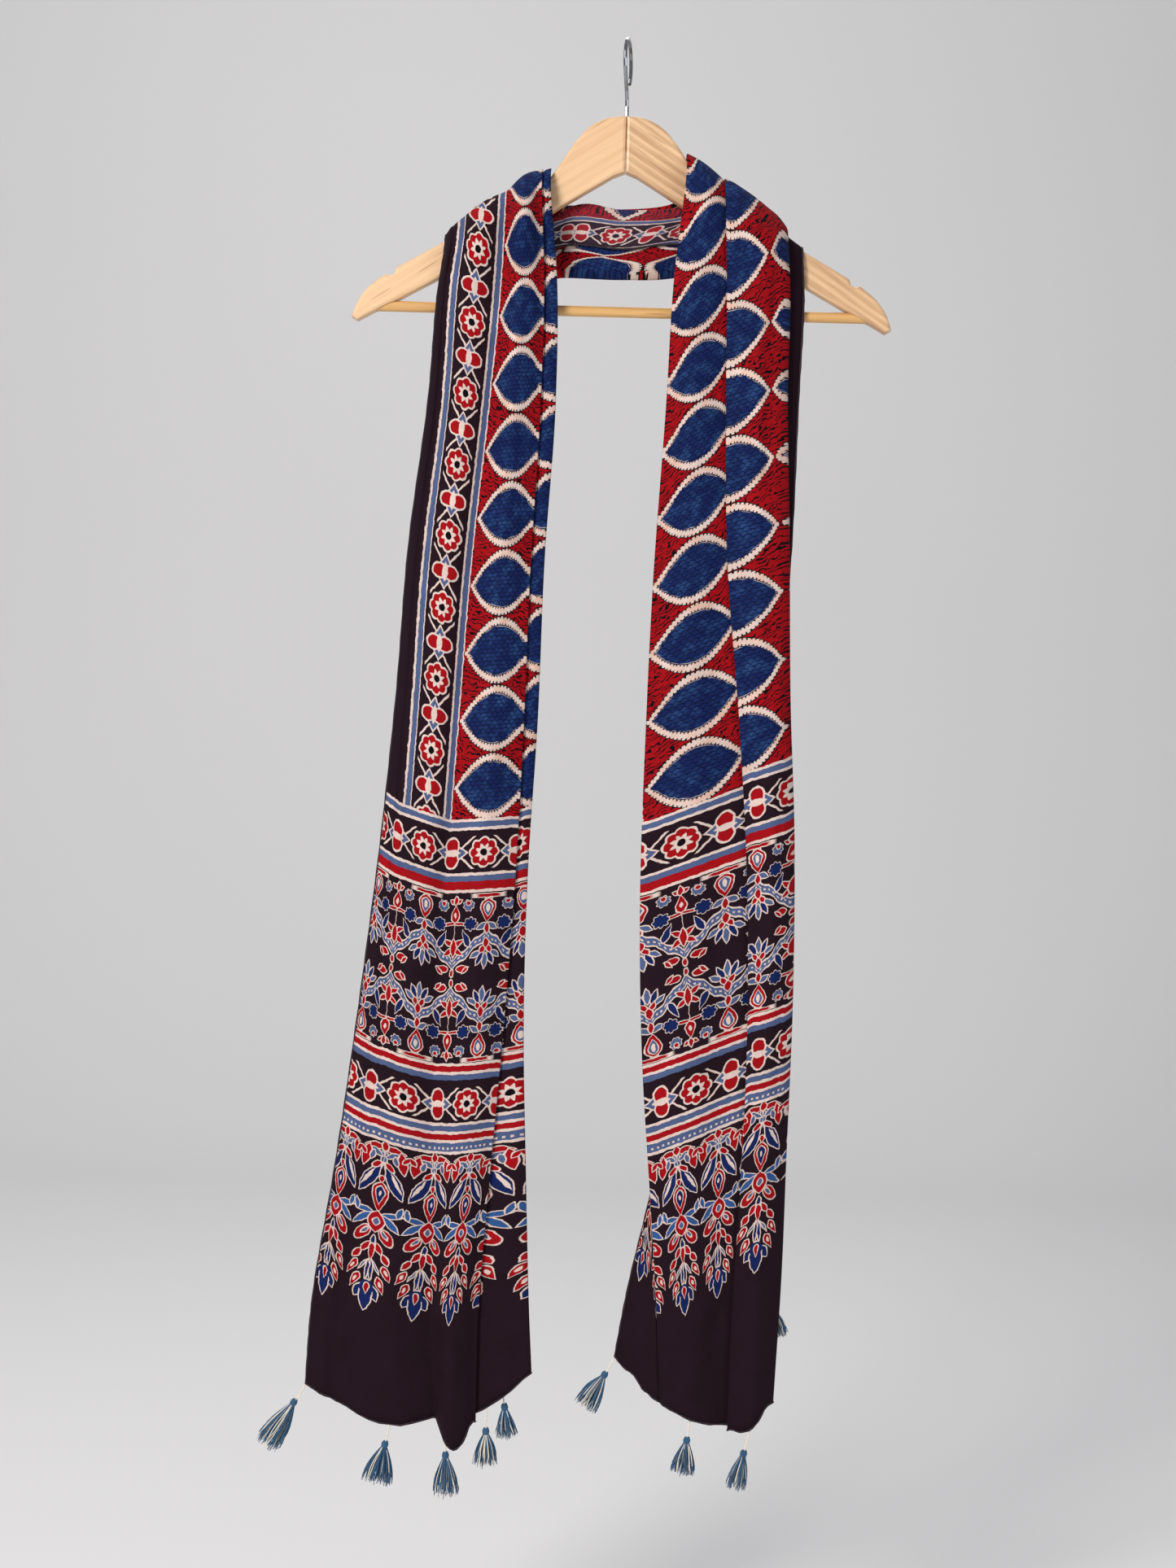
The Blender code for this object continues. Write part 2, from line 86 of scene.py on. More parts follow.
# How far each layer's hem hangs below the straight way between its lines
DROP_LEFT = (0.0, 10.0, 22.0, 0.0, 5.0, 0.0, 0.0, 0.0)
DROP_RIGHT = (0.0, 0.0, 9.0, 0.0, 5.0, 0.0, 3.0, 2.0)
NONE = (0.0,) * 8

# The reverse is the sheet's second material, and the weave repeats at this pitch
REVERSE_SLOT = 1
WEAVE_PITCH = 0.9

# Camera, where the photograph was taken from
CAMERA_AWAY = 1.9
CAMERA_X = -0.0178
CAMERA_Z = -0.6208
CAMERA_ROLL = 1.5
FRAME_TALL = 1.3104

# Room
FLOOR = -1.42
STAGE_HALF = 5.0
STAGE_FRONT = -3.4
STAGE_BACK = 2.6
WORLD_LIGHT = 0.36
# Lights: name, place, aim, power, size, colour
LIGHTS = [("key", (-1.5, -2.3, 0.6), (0.0, 0.0, -0.6), 78.0, 1.1, (1.0, 0.97, 0.93)),
          ("fill", (1.7, -2.0, -0.9), (0.0, 0.0, -0.6), 14.0, 1.6, (0.93, 0.96, 1.0)),
          ("top", (0.2, 0.9, 1.3), (0.0, 0.0, -0.4), 12.0, 1.4, (1.0, 1.0, 1.0)),
          ("wall", (-0.6, 1.0, 1.6), (0.0, 3.6, -0.3), 16.0, 1.8, (1.0, 0.98, 0.96))]

# Distance out from the wood just before and just after each line
DEPTH_LEFT = [(5, 5), (13, 13), (12, 12), (15, 12.5), (12.5, 10), (10, 7), (7, 4), (4, 1), (1, 1)]
DEPTH_TOP = [(5, 5), (13, 13), (14, 14), (15, 12), (12, 9.8), (9.8, 7), (7, 4), (4, 1), (1, 1)]
DEPTH_WRAP = [(1, 1), (1, 4), (4, 15), (15, 13.5), (13.5, 12), (12, 10.5), (10.5, 8.6), (8.6, 6.8),
              (6.8, 6.8)]
DEPTH_NAPE = [(1, 1), (1, 3.5), (3.5, 16), (16, 14), (14, 12), (12, 9.8), (9.6, 9.2), (7.2, 6.8), (6.6, 6.6)]
DEPTH_RIGHT = [(1, 1), (1, 3.5), (3.5, 15), (15, 12.5), (12.5, 10), (10, 7.2), (7, 7), (6.8, 6.8), (6.5, 6.5)]
DEPTH_LOOSE = [(1, 1), (1, 3.5), (3.5, 15), (15, 12.5), (12.5, 10), (10, 7.2), (6, 6), (4, 4), (1, 1)]
DEPTH_TURNING = [(1, 1), (1, 3.5), (3.5, 15), (15, 12.5), (12.5, 10), (10, 7), (1, 1), (-8, -8), (-18, -18)]
DEPTH_OPEN = [(1, 1), (1, 3.5), (3.5, 15), (15, 12.5), (12.5, 10), (10, 8), (3, 3), (-4, -4), (-11, -11)]

# Left panel, hem first: x of each line
#          selvedge turn valley front tuck inner back_a back_b far
LEFT_X = [(-239, -212, -131, -98, -112, -53, -190, -75, -170),
          (-235, -208, -136, -98, -112, -57, -190, -78, -168),
          (-219, -196, -139, -92, -104, -62, -182, -80, -160),
          (-204, -184, -138, -84, -95, -67, -172, -82, -152),
          (-190, -174, -133, -77, -87, -67, -162, -80, -146),
          (-179, -166, -126, -73, -83, -62, -155, -76, -140),
          (-172, -160, -119, -71, -81, -60, -150, -74, -136),
          (-158, -147, -107, -66, -76, -54, -138, -66, -124),
          (-153, -143, -100, -66, -75, -56, -134, -66, -118)]
# Height of each line at the same stations
LEFT_Z = [(-1124, -1136, -1148, -1150, -1150, -1110, -1120, -1128, -1118),
          (-1052, -1058, -1064, -1062, -1058, -1050, -1052, -1054, -1050),
          (-942, -950, -956, -955, -952, -946, -946, -948, -944),
          (-820, -828, -838, -836, -832, -826, -826, -826, -824),
          (-688, -696, -708, -706, -702, -698, -698, -698, -696),
          (-556, -562, -574, -573, -570, -566, -566, -566, -564),
          (-432, -436, -446, -446, -444, -440, -440, -440, -438),
          (-298, -300, -304, -304, -302, -300, -300, -300, -300),
          (-214, -212, -206, -200, -200, -198, -206, -200, -206)]
# Right panel, shoulder first
RIGHT_X = [(151, 60, 135, 87, 101, 44, 60, 75, 89),
           (149, 58, 135, 89, 104, 40, 57, 73, 88),
           (146, 52, 140, 94, 110, 33, 52, 70, 86),
           (141, 50, 144, 107, 122, 30, 50, 70, 88),
           (145, 62, 151, 117, 131, 29, 45, 62, 78),
           (147, 72, 153, 120, 133, 34, 45, 54, 62),
           (146, 76, 151, 117, 130, 44, 48, 48, 46),
           (144, 74, 149, 113, 126, 52, 48, 39, 27),
           (142, 78, 145, 112, 124, 58, 48, 33, 17)]
RIGHT_Z = [(-214, -200, -212, -200, -204, -196, -198, -200, -202),
           (-290, -296, -290, -300, -298, -302, -300, -298, -296),
           (-420, -436, -424, -440, -436, -448, -444, -440, -438),
           (-535, -560, -544, -568, -562, -578, -574, -570, -566),
           (-655, -694, -670, -706, -698, -716, -712, -708, -704),
           (-775, -824, -800, -838, -830, -846, -842, -838, -834),
           (-885, -946, -925, -962, -954, -966, -962, -958, -952),
           (-975, -1050, -1036, -1068, -1060, -1066, -1060, -1052, -1040),
           (-1040, -1112, -1129, -1151, -1148, -1134, -1128, -1112, -1099)]
RIGHT_DEPTHS = [DEPTH_RIGHT] * 5 + [DEPTH_LOOSE] + [DEPTH_TURNING, DEPTH_OPEN, DEPTH_OPEN]
# Across the shoulders: x of each line on top of the arm
LEFT_TOP_X = (-148, -138, -98, -70, -78, -63, -132, -72, -112)
LEFT_BEHIND_X = (-146, -140, -112, -74, -82, -65, -100, -75, -94)
RIGHT_TOP_X = (149, 64, 132, 84, 98, 52, 66, 78, 90)
# How far round the arm each shoulder station lies, in degrees from the front
SHOULDER_TURNS = (0, 45, 90, 135, 180)
# Behind the neck: height of each line, then x of each line
NAPE_Z = [(-184, -172, -192, -146, -157, -134, -161, -145, -160),
          (-169, -137, -190, -143, -158, -134, -147, -148, -161),
          (-171, -139, -191, -145, -160, -137, -146, -151, -156),
          (-166, -135, -187, -140, -156, -130, -139, -145, -150)]
NAPE_X = [(-96, -94, -92, -80, -82, -70, -80, -73, -80),
          (-48, -44, -48, -44, -45, -42, -43, -44, -45),
          (0, 0, 0, 0, 0, 0, 0, 0, 0),
          (52, 46, 50, 46, 47, 43, 44, 45, 46)]
NAPE_DEPTHS = (DEPTH_WRAP, DEPTH_NAPE, DEPTH_RIGHT, DEPTH_RIGHT)
# Rows of faces laid between one station and the next
PANEL_ROWS = 12
TOP_ROWS = 9
SHOULDER_ROWS = 4
NAPE_ROWS = 12

# Where each line lies on the print, across and along. Along is measured from the nearer hem.
LEFT_U = [(0, 30, 112, 158, 166, 195, 275, 412, 493),
          (0, 30, 95, 150, 160, 185, 270, 411, 493),
          (0, 30, 79, 138, 150, 175, 265, 410, 493)]
RIGHT_U = [(0, 90, 266, 316, 338, 405, 436, 465, 493),
           (0, 90, 270, 316, 338, 410, 438, 466, 493),
           (0, 90, 278, 316, 338, 412, 440, 467, 493),
           (0, 90, 280, 316, 338, 413, 441, 468, 493),
           (0, 90, 280, 316, 338, 417, 444, 470, 493),
           (0, 90, 280, 316, 338, 428, 450, 472, 493),
           (0, 90, 280, 316, 338, 436, 455, 474, 493),
           (0, 90, 280, 316, 338, 440, 457, 475, 493)]
NAPE_U = [(20, 60, 130, 190, 205, 250, 320, 420, 493),
          (36, 90, 230, 290, 310, 380, 420, 455, 493),
          (36, 90, 250, 300, 322, 400, 430, 460, 493),
          (30, 90, 262, 312, 334, 410, 436, 464, 493)]
LEFT_V0 = (1, 0, 2, -5, -7, 27, 10, 10, 10)
RIGHT_V0 = (0, 0, -38, -46, -38, 13, 7, 7, 7)

# Tassels: name, line it hangs near, share of the way to the next line, lean in x and y, cord, skirt, spread
TASSELS = [("tassel_l1", 0, 0.0, (-0.62, -0.05), 18, 40, 11),
           ("tassel_l2", 1, 0.55, (-0.20, -0.06), 17, 30, 13),
           ("tassel_l3", 2, 0.3, (0.05, -0.04), 10, 31, 11),
           ("tassel_l4", 4, 0.4, (0.00, 0.08), 20, 27, 10),
           ("tassel_l5", 7, 0.0, (0.12, 0.10), 12, 24, 9),
           ("tassel_r1", 8, 0.0, (-0.55, -0.05), 17, 30, 11),
           ("tassel_r2", 4, 0.67, (-0.12, -0.06), 17, 26, 10),
           ("tassel_r3", 2, 0.5, (-0.22, -0.04), 19, 28, 9),
           ("tassel_r4", 0, 0.0, (0.36, 0.42), 14, 28, 7)]
CORD_RADIUS = 0.85
HEAD_RADIUS = 3.0
STRANDS = 130
STRAND_RADIUS = 0.42
PALE_SHARE = 0.24
# Creases laid over the panels: places down the crease, how far it moves the cloth, its half width
CREASES = [([(-150, -200), (-146, -330), (-152, -470), (-160, -600), (-166, -720)], -1.6, 6.0),
           ([(-128, -200), (-136, -300), (-148, -420), (-156, -560)], 1.2, 6.0),
           ([(-91, -180), (-88, -300), (-95, -430), (-102, -560), (-104, -700), (-108, -840)], 1.3, 7.0),
           ([(-78, -230), (-80, -340), (-84, -470), (-88, -620)], -0.9, 4.0),
           ([(-197, -700), (-194, -740), (-197, -800), (-214, -900), (-217, -970), (-218, -1060)], 1.8, 4.5),
           ([(-160, -640), (-168, -760), (-180, -880), (-190, -1000), (-196, -1090)], -1.5, 7.0),
           ([(-122, -850), (-124, -960), (-122, -1060), (-118, -1150)], 1.4, 7.0),
           ([(127, -170), (126, -219), (124, -267), (123, -361)], -2.2, 5.0),
           ([(119, -170), (117, -230), (116, -290), (116, -350)], 1.5, 5.0),
           ([(62, -150), (60, -260), (62, -380), (66, -520), (72, -640)], 1.5, 8.0),
           ([(48, -250), (50, -370), (54, -500), (56, -640), (62, -760)], -1.2, 6.0),
           ([(84, -480), (86, -600), (92, -720), (94, -860), (92, -980)], -1.3, 8.0),
           ([(136, -620), (138, -760), (138, -900), (133, -1040)], 1.2, 5.0),
           ([(70, -800), (74, -920), (76, -1040), (80, -1130)], 1.3, 7.0)]
# Small waves over the whole cloth: length across, length down, size
WAVES = [(23.0, 210.0, 0.34), (13.0, 120.0, 0.16), (41.0, 330.0, 0.45)]
HEM_WAVE = (17.0, 0.9, 60.0)


def rest_height(x):
    """Height of the straight line that the cloth takes over one shoulder."""
    (near, high), (out, low) = REST_LEFT if x < 0 else REST_RIGHT
    return high + (abs(x) - near) * (low - high) / (out - near)


def rest_lift(x, lift):
    """How far up a point moves to stand off that line by lift."""
    slope = rest_height(x) - rest_height(x + 1.0)
    return lift * math.sqrt(1 + slope * slope)


def panel_point(x, depth, z):
    return Vector((x, -(ARM_THICK / 2 + EDGE_CLEAR + depth), z))


def shoulder_point(x, depth, turn):
    """A place on the way over the arm: an oval round its upper edge."""
    angle = math.radians(turn)
    pressed = INNERMOST + (depth - INNERMOST) * (1 - SQUEEZE * math.sin(angle))
    half = ARM_THICK / 2 + EDGE_CLEAR + pressed
    rise = ARM_THICK / 2 + rest_lift(x, SEAT + pressed)
    return Vector((x, -half * math.cos(angle), rest_height(x) - ARM_THICK / 2 + rise * math.sin(angle)))


def nape_point(x, depth, z):
    return Vector((x, ARM_THICK / 2 + EDGE_CLEAR + depth, z))


def line_ends(xs, heights, depths):
    """The point just before and just after every line, as place, depth and height or turn."""
    return [(Vector((x, d[0], h)), Vector((x, d[1], h))) for x, h, d in zip(xs, heights, depths)]


def pick(table, k):
    """A row of a table, which keeps its last row once it runs out."""
    return table[min(k, len(table) - 1)]


def faded(swells, turn):
    """The swells at a turn over the arm, gone from its top onwards."""
    return [s * max(0.0, math.cos(math.radians(turn))) for s in swells]


def stations():
    """Each station along the cloth: how its points are placed, lines, swells, drops and print."""
    rows = []
    for k, (xs, zs) in enumerate(zip(LEFT_X, LEFT_Z)):
        drops = DROP_LEFT if k == 0 else NONE
        rows.append((panel_point, line_ends(xs, zs, DEPTH_LEFT), SWELL_LEFT, drops, pick(LEFT_U, k)))
    for turn in SHOULDER_TURNS:
        share = max(0.0, turn / 90 - 1)
        xs = [top + (behind - top) * share for top, behind in zip(LEFT_TOP_X, LEFT_BEHIND_X)]
        ends = line_ends(xs, [turn] * len(xs), DEPTH_TOP)
        rows.append((shoulder_point, ends, faded(SWELL_LEFT, turn), NONE, LEFT_U[-1]))
    for xs, zs, depths, print_u in zip(NAPE_X, NAPE_Z, NAPE_DEPTHS, NAPE_U):
        rows.append((nape_point, line_ends(xs, zs, depths), NONE, NONE, print_u))
    for turn in reversed(SHOULDER_TURNS):
        ends = line_ends(RIGHT_TOP_X, [turn] * len(RIGHT_TOP_X), DEPTH_RIGHT)
        rows.append((shoulder_point, ends, faded(SWELL_RIGHT, turn), NONE, RIGHT_U[0]))
    for k, (xs, zs, depths) in enumerate(zip(RIGHT_X, RIGHT_Z, RIGHT_DEPTHS)):
        drops = DROP_RIGHT if k == len(RIGHT_X) - 1 else NONE
        rows.append((panel_point, line_ends(xs, zs, depths), SWELL_RIGHT, drops, pick(RIGHT_U, k)))
    return rows


def lengths_along(rows):
    """For every line, how far along the print each station lies."""
    places = [[place(*((a + b) / 2)) for a, b in ends] for place, ends, *_ in rows]
    first = len(LEFT_X) + len(SHOULDER_TURNS) // 2
    last = len(rows) - 1 - len(RIGHT_X) - len(SHOULDER_TURNS) // 2
    print_v = np.zeros((len(rows), len(places[0])))
    for line in range(len(places[0])):
        run = [0.0]
        for a, b in zip(places, places[1:]):
            run.append(run[-1] + (b[line] - a[line]).length)
        run = np.array(run)
        left = LEFT_V0[line] + run
        right = FLAT_LENGTH - RIGHT_V0[line] - (run[-1] - run)
        share = np.clip((run - run[first]) / (run[last] - run[first]), 0.0, 1.0)
        print_v[:, line] = left * (1 - share) + right * share
    return print_v


def fold_lead(start, stop):
    """How far the rounded turn at a line reaches along a layer."""
    return min(FOLD_LEAD, FOLD_ROUND * (stop - start).length)


def proud_at(station, line, share):
    """How far a layer swells out and hangs down at a share of its width."""
    _, _, swells, drops, _ = station
    start = SWELL_START[line]
    inside = max(0.0, (share - start) / (1 - start))
    return Vector((0, swells[line] * math.sin(math.pi * inside), -drops[line] * math.sin(math.pi * share)))


def across(station, along):
    """All points across the cloth at one station, with a rounded turn at each line, and their print."""
    place, row, _, drops, print_u = station
    points = []
    prints = []
    last = len(row) - 1
    for k, (before, after) in enumerate(row):
        here = (print_u[k], along[k])
        toward = 1.0 if along[k] < FLAT_LENGTH / 2 else -1.0
        if k > 0:
            into = (before - row[k - 1][1]).normalized()
        if k < last:
            out = (row[k + 1][0] - after).normalized()
        if k == 0:
            points.append(after)
            prints.append(here)
            continue
        start = points[-1]
        ink = prints[-1]
        lead = fold_lead(row[k - 1][1], before)
        stop = before if k == last else before - into * lead
        end = here if k == last else (here[0] - lead, here[1])
        for j in range(1, STEPS[k - 1]):
            share = j / STEPS[k - 1]
            points.append(start.lerp(stop, share) + proud_at(station, k - 1, share))
            hang = drops[k - 1] * math.sin(math.pi * share) * toward
            prints.append((ink[0] + (end[0] - ink[0]) * share, ink[1] + (end[1] - ink[1]) * share - hang))
        points.append(stop)
        prints.append(end)
        if k < last:
            lead = fold_lead(after, row[k + 1][0])
            points.append((before + after) / 2 + (into - out) / 2 * (before - after).length * FOLD_ROUND)
            prints.append(here)
            points.append(after + out * lead)
            prints.append((here[0] + lead, here[1]))
    return [(*place(*point), *ink) for point, ink in zip(points, prints)]


def eased(values, steps, power):
    """Smooth runs through values along the first axis, with the given number of steps on each span."""
    gaps = np.linalg.norm(np.diff(values[..., :3], axis=0), axis=-1)
    while gaps.ndim > 1:
        gaps = gaps.mean(axis=-1)
    gaps = np.maximum(gaps, 1e-3) ** power
    slopes = np.diff(values, axis=0) / gaps.reshape((-1,) + (1,) * (values.ndim - 1))
    middle = [(slopes[i] * gaps[i + 1] + slopes[i + 1] * gaps[i]) / (gaps[i] + gaps[i + 1])
              for i in range(len(gaps) - 1)]
    tangents = [slopes[0], *middle, slopes[-1]]
    run = []
    for i, count in enumerate(steps):
        for j in range(count):
            t = j / count
            run.append(values[i] * (2 * t ** 3 - 3 * t ** 2 + 1) + values[i + 1] * (3 * t ** 2 - 2 * t ** 3)
                       + gaps[i] * (tangents[i] * (t ** 3 - 2 * t ** 2 + t)
                                    + tangents[i + 1] * (t ** 3 - t ** 2)))
    run.append(values[-1])
    return np.array(run)


def crease_push(x, z):
    """How far the listed creases move the cloth towards the front."""
    push = np.zeros_like(x)
    for path, depth, width in CREASES:
        xs, zs = (np.array(c, float) for c in zip(*path))
        middle = np.interp(-z, -zs, xs)
        reach = np.clip(np.minimum(zs[0] - z + 40, z - zs[-1] + 40) / 60.0, 0.0, 1.0)
        push += depth * np.exp(-((x - middle) / width) ** 2) * reach * reach * (3 - 2 * reach)
    return push


def wave_push(x, z):
    """Small uneven waves that run down the cloth."""
    push = np.zeros_like(x)
    for k, (wide, tall, size) in enumerate(WAVES):
        lean = np.sin(z / tall + k) * wide * 0.5
        push += size * np.sin((x + lean) * 2 * math.pi / wide + 1.7 * k) * np.cos(z / tall * 1.3 + 2.1 * k)
    return push


def cloth_grid():
    """Points and print places as one array: rows from hem to hem, columns across, x y z u v."""
    rows = stations()
    along = lengths_along(rows)
    sections = np.array([across(row, v) for row, v in zip(rows, along)])
    panel = [PANEL_ROWS] * (len(LEFT_X) - 1) + [TOP_ROWS]
    shoulder = [SHOULDER_ROWS] * (len(SHOULDER_TURNS) - 1)
    steps = panel + shoulder + [NAPE_ROWS] * (len(NAPE_X) + 1) + shoulder + panel[::-1]
    sheet = eased(sections, steps, 1.0)
    sheet = eased(sheet.transpose(1, 0, 2), [FINE_ACROSS] * (sheet.shape[1] - 1), 1.0).transpose(1, 0, 2)
    x, y, z = sheet[..., 0], sheet[..., 1], sheet[..., 2]
    front = np.clip((-8.5 - y) / 4.0, 0.0, 1.0) * np.clip((-150.0 - z) / 60.0, 0.0, 1.0)
    sheet[..., 1] -= front * (crease_push(x, z) + wave_push(x, z))
    wide, size, reach = HEM_WAVE
    for end in (0, -1):
        near = np.clip(1 - np.abs(z - z[end]) / reach, 0.0, 1.0) * (y < 0)
        near = near * (np.arange(len(sheet)) < len(sheet) / 2 if end == 0 else
                       np.arange(len(sheet)) >= len(sheet) / 2)[:, None]
        sheet[..., 1] += near * size * np.sin(x / wide * 2 * math.pi)
    return sheet


def make_stole(sheet, face, reverse):
    """The cloth as one thin sheet, with its print places kept as a UV map in flat millimetres."""
    count, wide = sheet.shape[:2]
    mesh = bpy.data.meshes.new("ajrakh_stole")
    index = np.arange(count * wide).reshape(count, wide)
    quads = np.stack([index[:-1, :-1], index[:-1, 1:], index[1:, 1:], index[1:, :-1]], axis=-1)
    mesh.from_pydata((sheet[..., :3].reshape(-1, 3) * MM).tolist(), [], quads.reshape(-1, 4).tolist())
    layer = mesh.uv_layers.new(name="flat")
    corners = np.zeros(len(mesh.loops), np.int32)
    mesh.loops.foreach_get("vertex_index", corners)
    layer.data.foreach_set("uv", sheet[..., 3:].reshape(-1, 2)[corners].astype(np.float32).ravel())
    mesh.polygons.foreach_set("use_smooth", [True] * len(mesh.polygons))
    mesh.materials.append(face)
    mesh.materials.append(reverse)
    stole = add_object("ajrakh_stole", mesh)
    solid = stole.modifiers.new("thickness", "SOLIDIFY")
    solid.thickness = SHEET_THICK * MM
    solid.offset = 0.0
    solid.use_even_offset = False
    solid.material_offset = REVERSE_SLOT
    return stole


def make_hem(sheet, material):
    """The finely rolled edge that runs all the way round the cloth."""
    rim = [*sheet[0, :, :3], *sheet[1:, -1, :3], *sheet[-1, -2::-1, :3], *sheet[-2:0:-1, 0, :3]]
    rim = np.array(rim)
    ahead = np.roll(rim, -1, axis=0) - np.roll(rim, 1, axis=0)
    ahead /= np.maximum(np.linalg.norm(ahead, axis=1), 1e-6)[:, None]
    side = np.cross(ahead, (0.0, 1.0, 0.0))
    side /= np.maximum(np.linalg.norm(side, axis=1), 1e-6)[:, None]
    up = np.cross(side, ahead)
    verts = []
    for k, (point, s, t) in enumerate(zip(rim, side, up)):
        roll = HEM_RADIUS * (1.0 + 0.22 * math.sin(k * 2.1) + 0.1 * math.sin(k * 0.37))
        for j in range(6):
            turn = j * math.pi / 3
            verts.append(point + (s * math.cos(turn) + t * math.sin(turn)) * roll)
    total = len(rim)
    quads = [(6 * k + j, 6 * k + (j + 1) % 6, 6 * ((k + 1) % total) + (j + 1) % 6, 6 * ((k + 1) % total) + j)
             for k in range(total) for j in range(6)]
    mesh = bpy.data.meshes.new("stole_hem")
    mesh.from_pydata((np.array(verts) * MM).tolist(), [], quads)
    mesh.polygons.foreach_set("use_smooth", [True] * len(mesh.polygons))
    mesh.materials.append(material)
    return add_object("stole_hem", mesh)


def linear(red, green, blue):
    """A colour given as 0 to 255 on a screen, as the values that materials use."""
    def one(c):
        c = c / 255
        return c / 12.92 if c <= 0.04045 else ((c + 0.055) / 1.055) ** 2.4
    return (one(red), one(green), one(blue), 1.0)


class Num:
    """A value inside a material. Arithmetic on it lays down Math nodes."""

    def __init__(self, tree, socket):
        self.tree = tree
        self.socket = socket

    def op(self, kind, *others, clamp=False):
        node = self.tree.nodes.new("ShaderNodeMath")
        node.operation = kind
        node.use_clamp = clamp
        for slot, value in zip(node.inputs, (self, *others)):
            feed(self.tree, slot, value)
        return Num(self.tree, node.outputs[0])

    def __add__(self, other):
        return self.op("ADD", other)

    def __sub__(self, other):
        return self.op("SUBTRACT", other)

    def __rsub__(self, other):
        return self.op("MULTIPLY_ADD", -1.0, other)

    def __mul__(self, other):
        return self.op("MULTIPLY", other)

    def __truediv__(self, other):
        return self.op("DIVIDE", other)

    __radd__ = __add__
    __rmul__ = __mul__

    def abs(self):
        return self.op("ABSOLUTE")

    def sin(self):
        return self.op("SINE")

    def mod(self, length):
        return self.op("FLOORED_MODULO", length)

    def low(self, other):
        return self.op("MINIMUM", other)

    def high(self, other):
        return self.op("MAXIMUM", other)

    def under(self, edge, soft=0.4):
        """1 where the value is below edge and 0 above it, with a soft step between."""
        if isinstance(edge, Num):
            return (edge - self).op("MULTIPLY_ADD", 1 / soft, 0.5, clamp=True)
        return self.op("MULTIPLY_ADD", -1 / soft, edge / soft + 0.5, clamp=True)

    def over(self, edge, soft=0.4):
        return self.op("MULTIPLY_ADD", 1 / soft, 0.5 - edge / soft, clamp=True)

    def between(self, low, high, soft=0.4):
        middle = (low + high) / 2
        return (self - middle).abs().under((high - low) / 2, soft)


def feed(tree, slot, value):
    """Links a value into a socket, or sets it there."""
    if isinstance(value, Num):
        tree.links.new(value.socket, slot)
    elif hasattr(value, "is_output"):
        tree.links.new(value, slot)
    else:
        slot.default_value = value


def pair(x, y):
    """Two values as one place."""
    node = x.tree.nodes.new("ShaderNodeCombineXYZ")
    feed(x.tree, node.inputs[0], x)
    feed(x.tree, node.inputs[1], y)
    return Num(x.tree, node.outputs[0])


def split(place):
    node = place.tree.nodes.new("ShaderNodeSeparateXYZ")
    feed(place.tree, node.inputs[0], place)
    return Num(place.tree, node.outputs[0]), Num(place.tree, node.outputs[1])


def local(place, x, y, across, down, turn=0.0):
    """The place seen from (x, y), turned, and scaled so that a shape's edge lies at 1."""
    node = place.tree.nodes.new("ShaderNodeMapping")
    node.vector_type = "TEXTURE"
    feed(place.tree, node.inputs["Vector"], place)
    node.inputs["Location"].default_value = (x, y, 0)
    node.inputs["Rotation"].default_value = (0, 0, math.radians(turn))
    node.inputs["Scale"].default_value = (across, down, 1)
    return Num(place.tree, node.outputs[0])


def noise(tree, place, scale, detail=2.0, roughness=0.5):
    node = tree.nodes.new("ShaderNodeTexNoise")
    if place is not None:
        feed(tree, node.inputs["Vector"], place)
    node.inputs["Scale"].default_value = scale
    node.inputs["Detail"].default_value = detail
    node.inputs["Roughness"].default_value = roughness
    return Num(tree, node.outputs["Fac"])


def mix(tree, mask, below, above, kind="MIX"):
    """A colour laid over another where the mask is 1."""
    node = tree.nodes.new("ShaderNodeMix")
    node.data_type = "RGBA"
    node.blend_type = kind
    feed(tree, node.inputs[0], mask)
    feed(tree, node.inputs[6], below)
    feed(tree, node.inputs[7], above)
    return node.outputs[2]


def bands(tree, value, reach, stops):
    """Plain bands of colour: each stop is where a band starts and its colour, or None for no ink."""
    node = tree.nodes.new("ShaderNodeValToRGB")
    feed(tree, node.inputs[0], value * (1 / reach))
    ramp = node.color_ramp
    ramp.interpolation = "CONSTANT"
    while len(ramp.elements) > 1:
        ramp.elements.remove(ramp.elements[-1])
    for k, (start, colour) in enumerate(stops):
        element = ramp.elements[0] if k == 0 else ramp.elements.new(start / reach)
        element.position = start / reach
        element.color = (0, 0, 0, 0) if colour is None else colour
    return node.outputs["Color"], Num(tree, node.outputs["Alpha"])


def new_material(name):
    """A material with its node tree and its main shader."""
    made = bpy.data.materials.new(name)
    made.use_nodes = True
    return made, made.node_tree, made.node_tree.nodes["Principled BSDF"]


def bump(tree, shader, height, strength, distance, under=None):
    node = tree.nodes.new("ShaderNodeBump")
    node.inputs["Strength"].default_value = strength
    node.inputs["Distance"].default_value = distance
    feed(tree, node.inputs["Height"], height)
    if under is not None:
        tree.links.new(under, node.inputs["Normal"])
    tree.links.new(node.outputs[0], shader.inputs["Normal"])
    return node.outputs[0]


def add_object(name, mesh):
    made = bpy.data.objects.new(name, mesh)
    bpy.context.scene.collection.objects.link(made)
    return made


# Print colours
GROUND = linear(40, 23, 33)
RED = linear(178, 16, 26)
INDIGO = linear(24, 42, 98)
SKY = linear(56, 98, 158)
GREY = linear(90, 108, 150)
CREAM = linear(250, 228, 216)
PEACH = linear(250, 206, 182)
INK = linear(18, 10, 18)
SCALE_LINE = linear(12, 20, 52)

REVERSE_TINT = linear(112, 92, 112)
WEAVE_SHADE = linear(196, 190, 194)

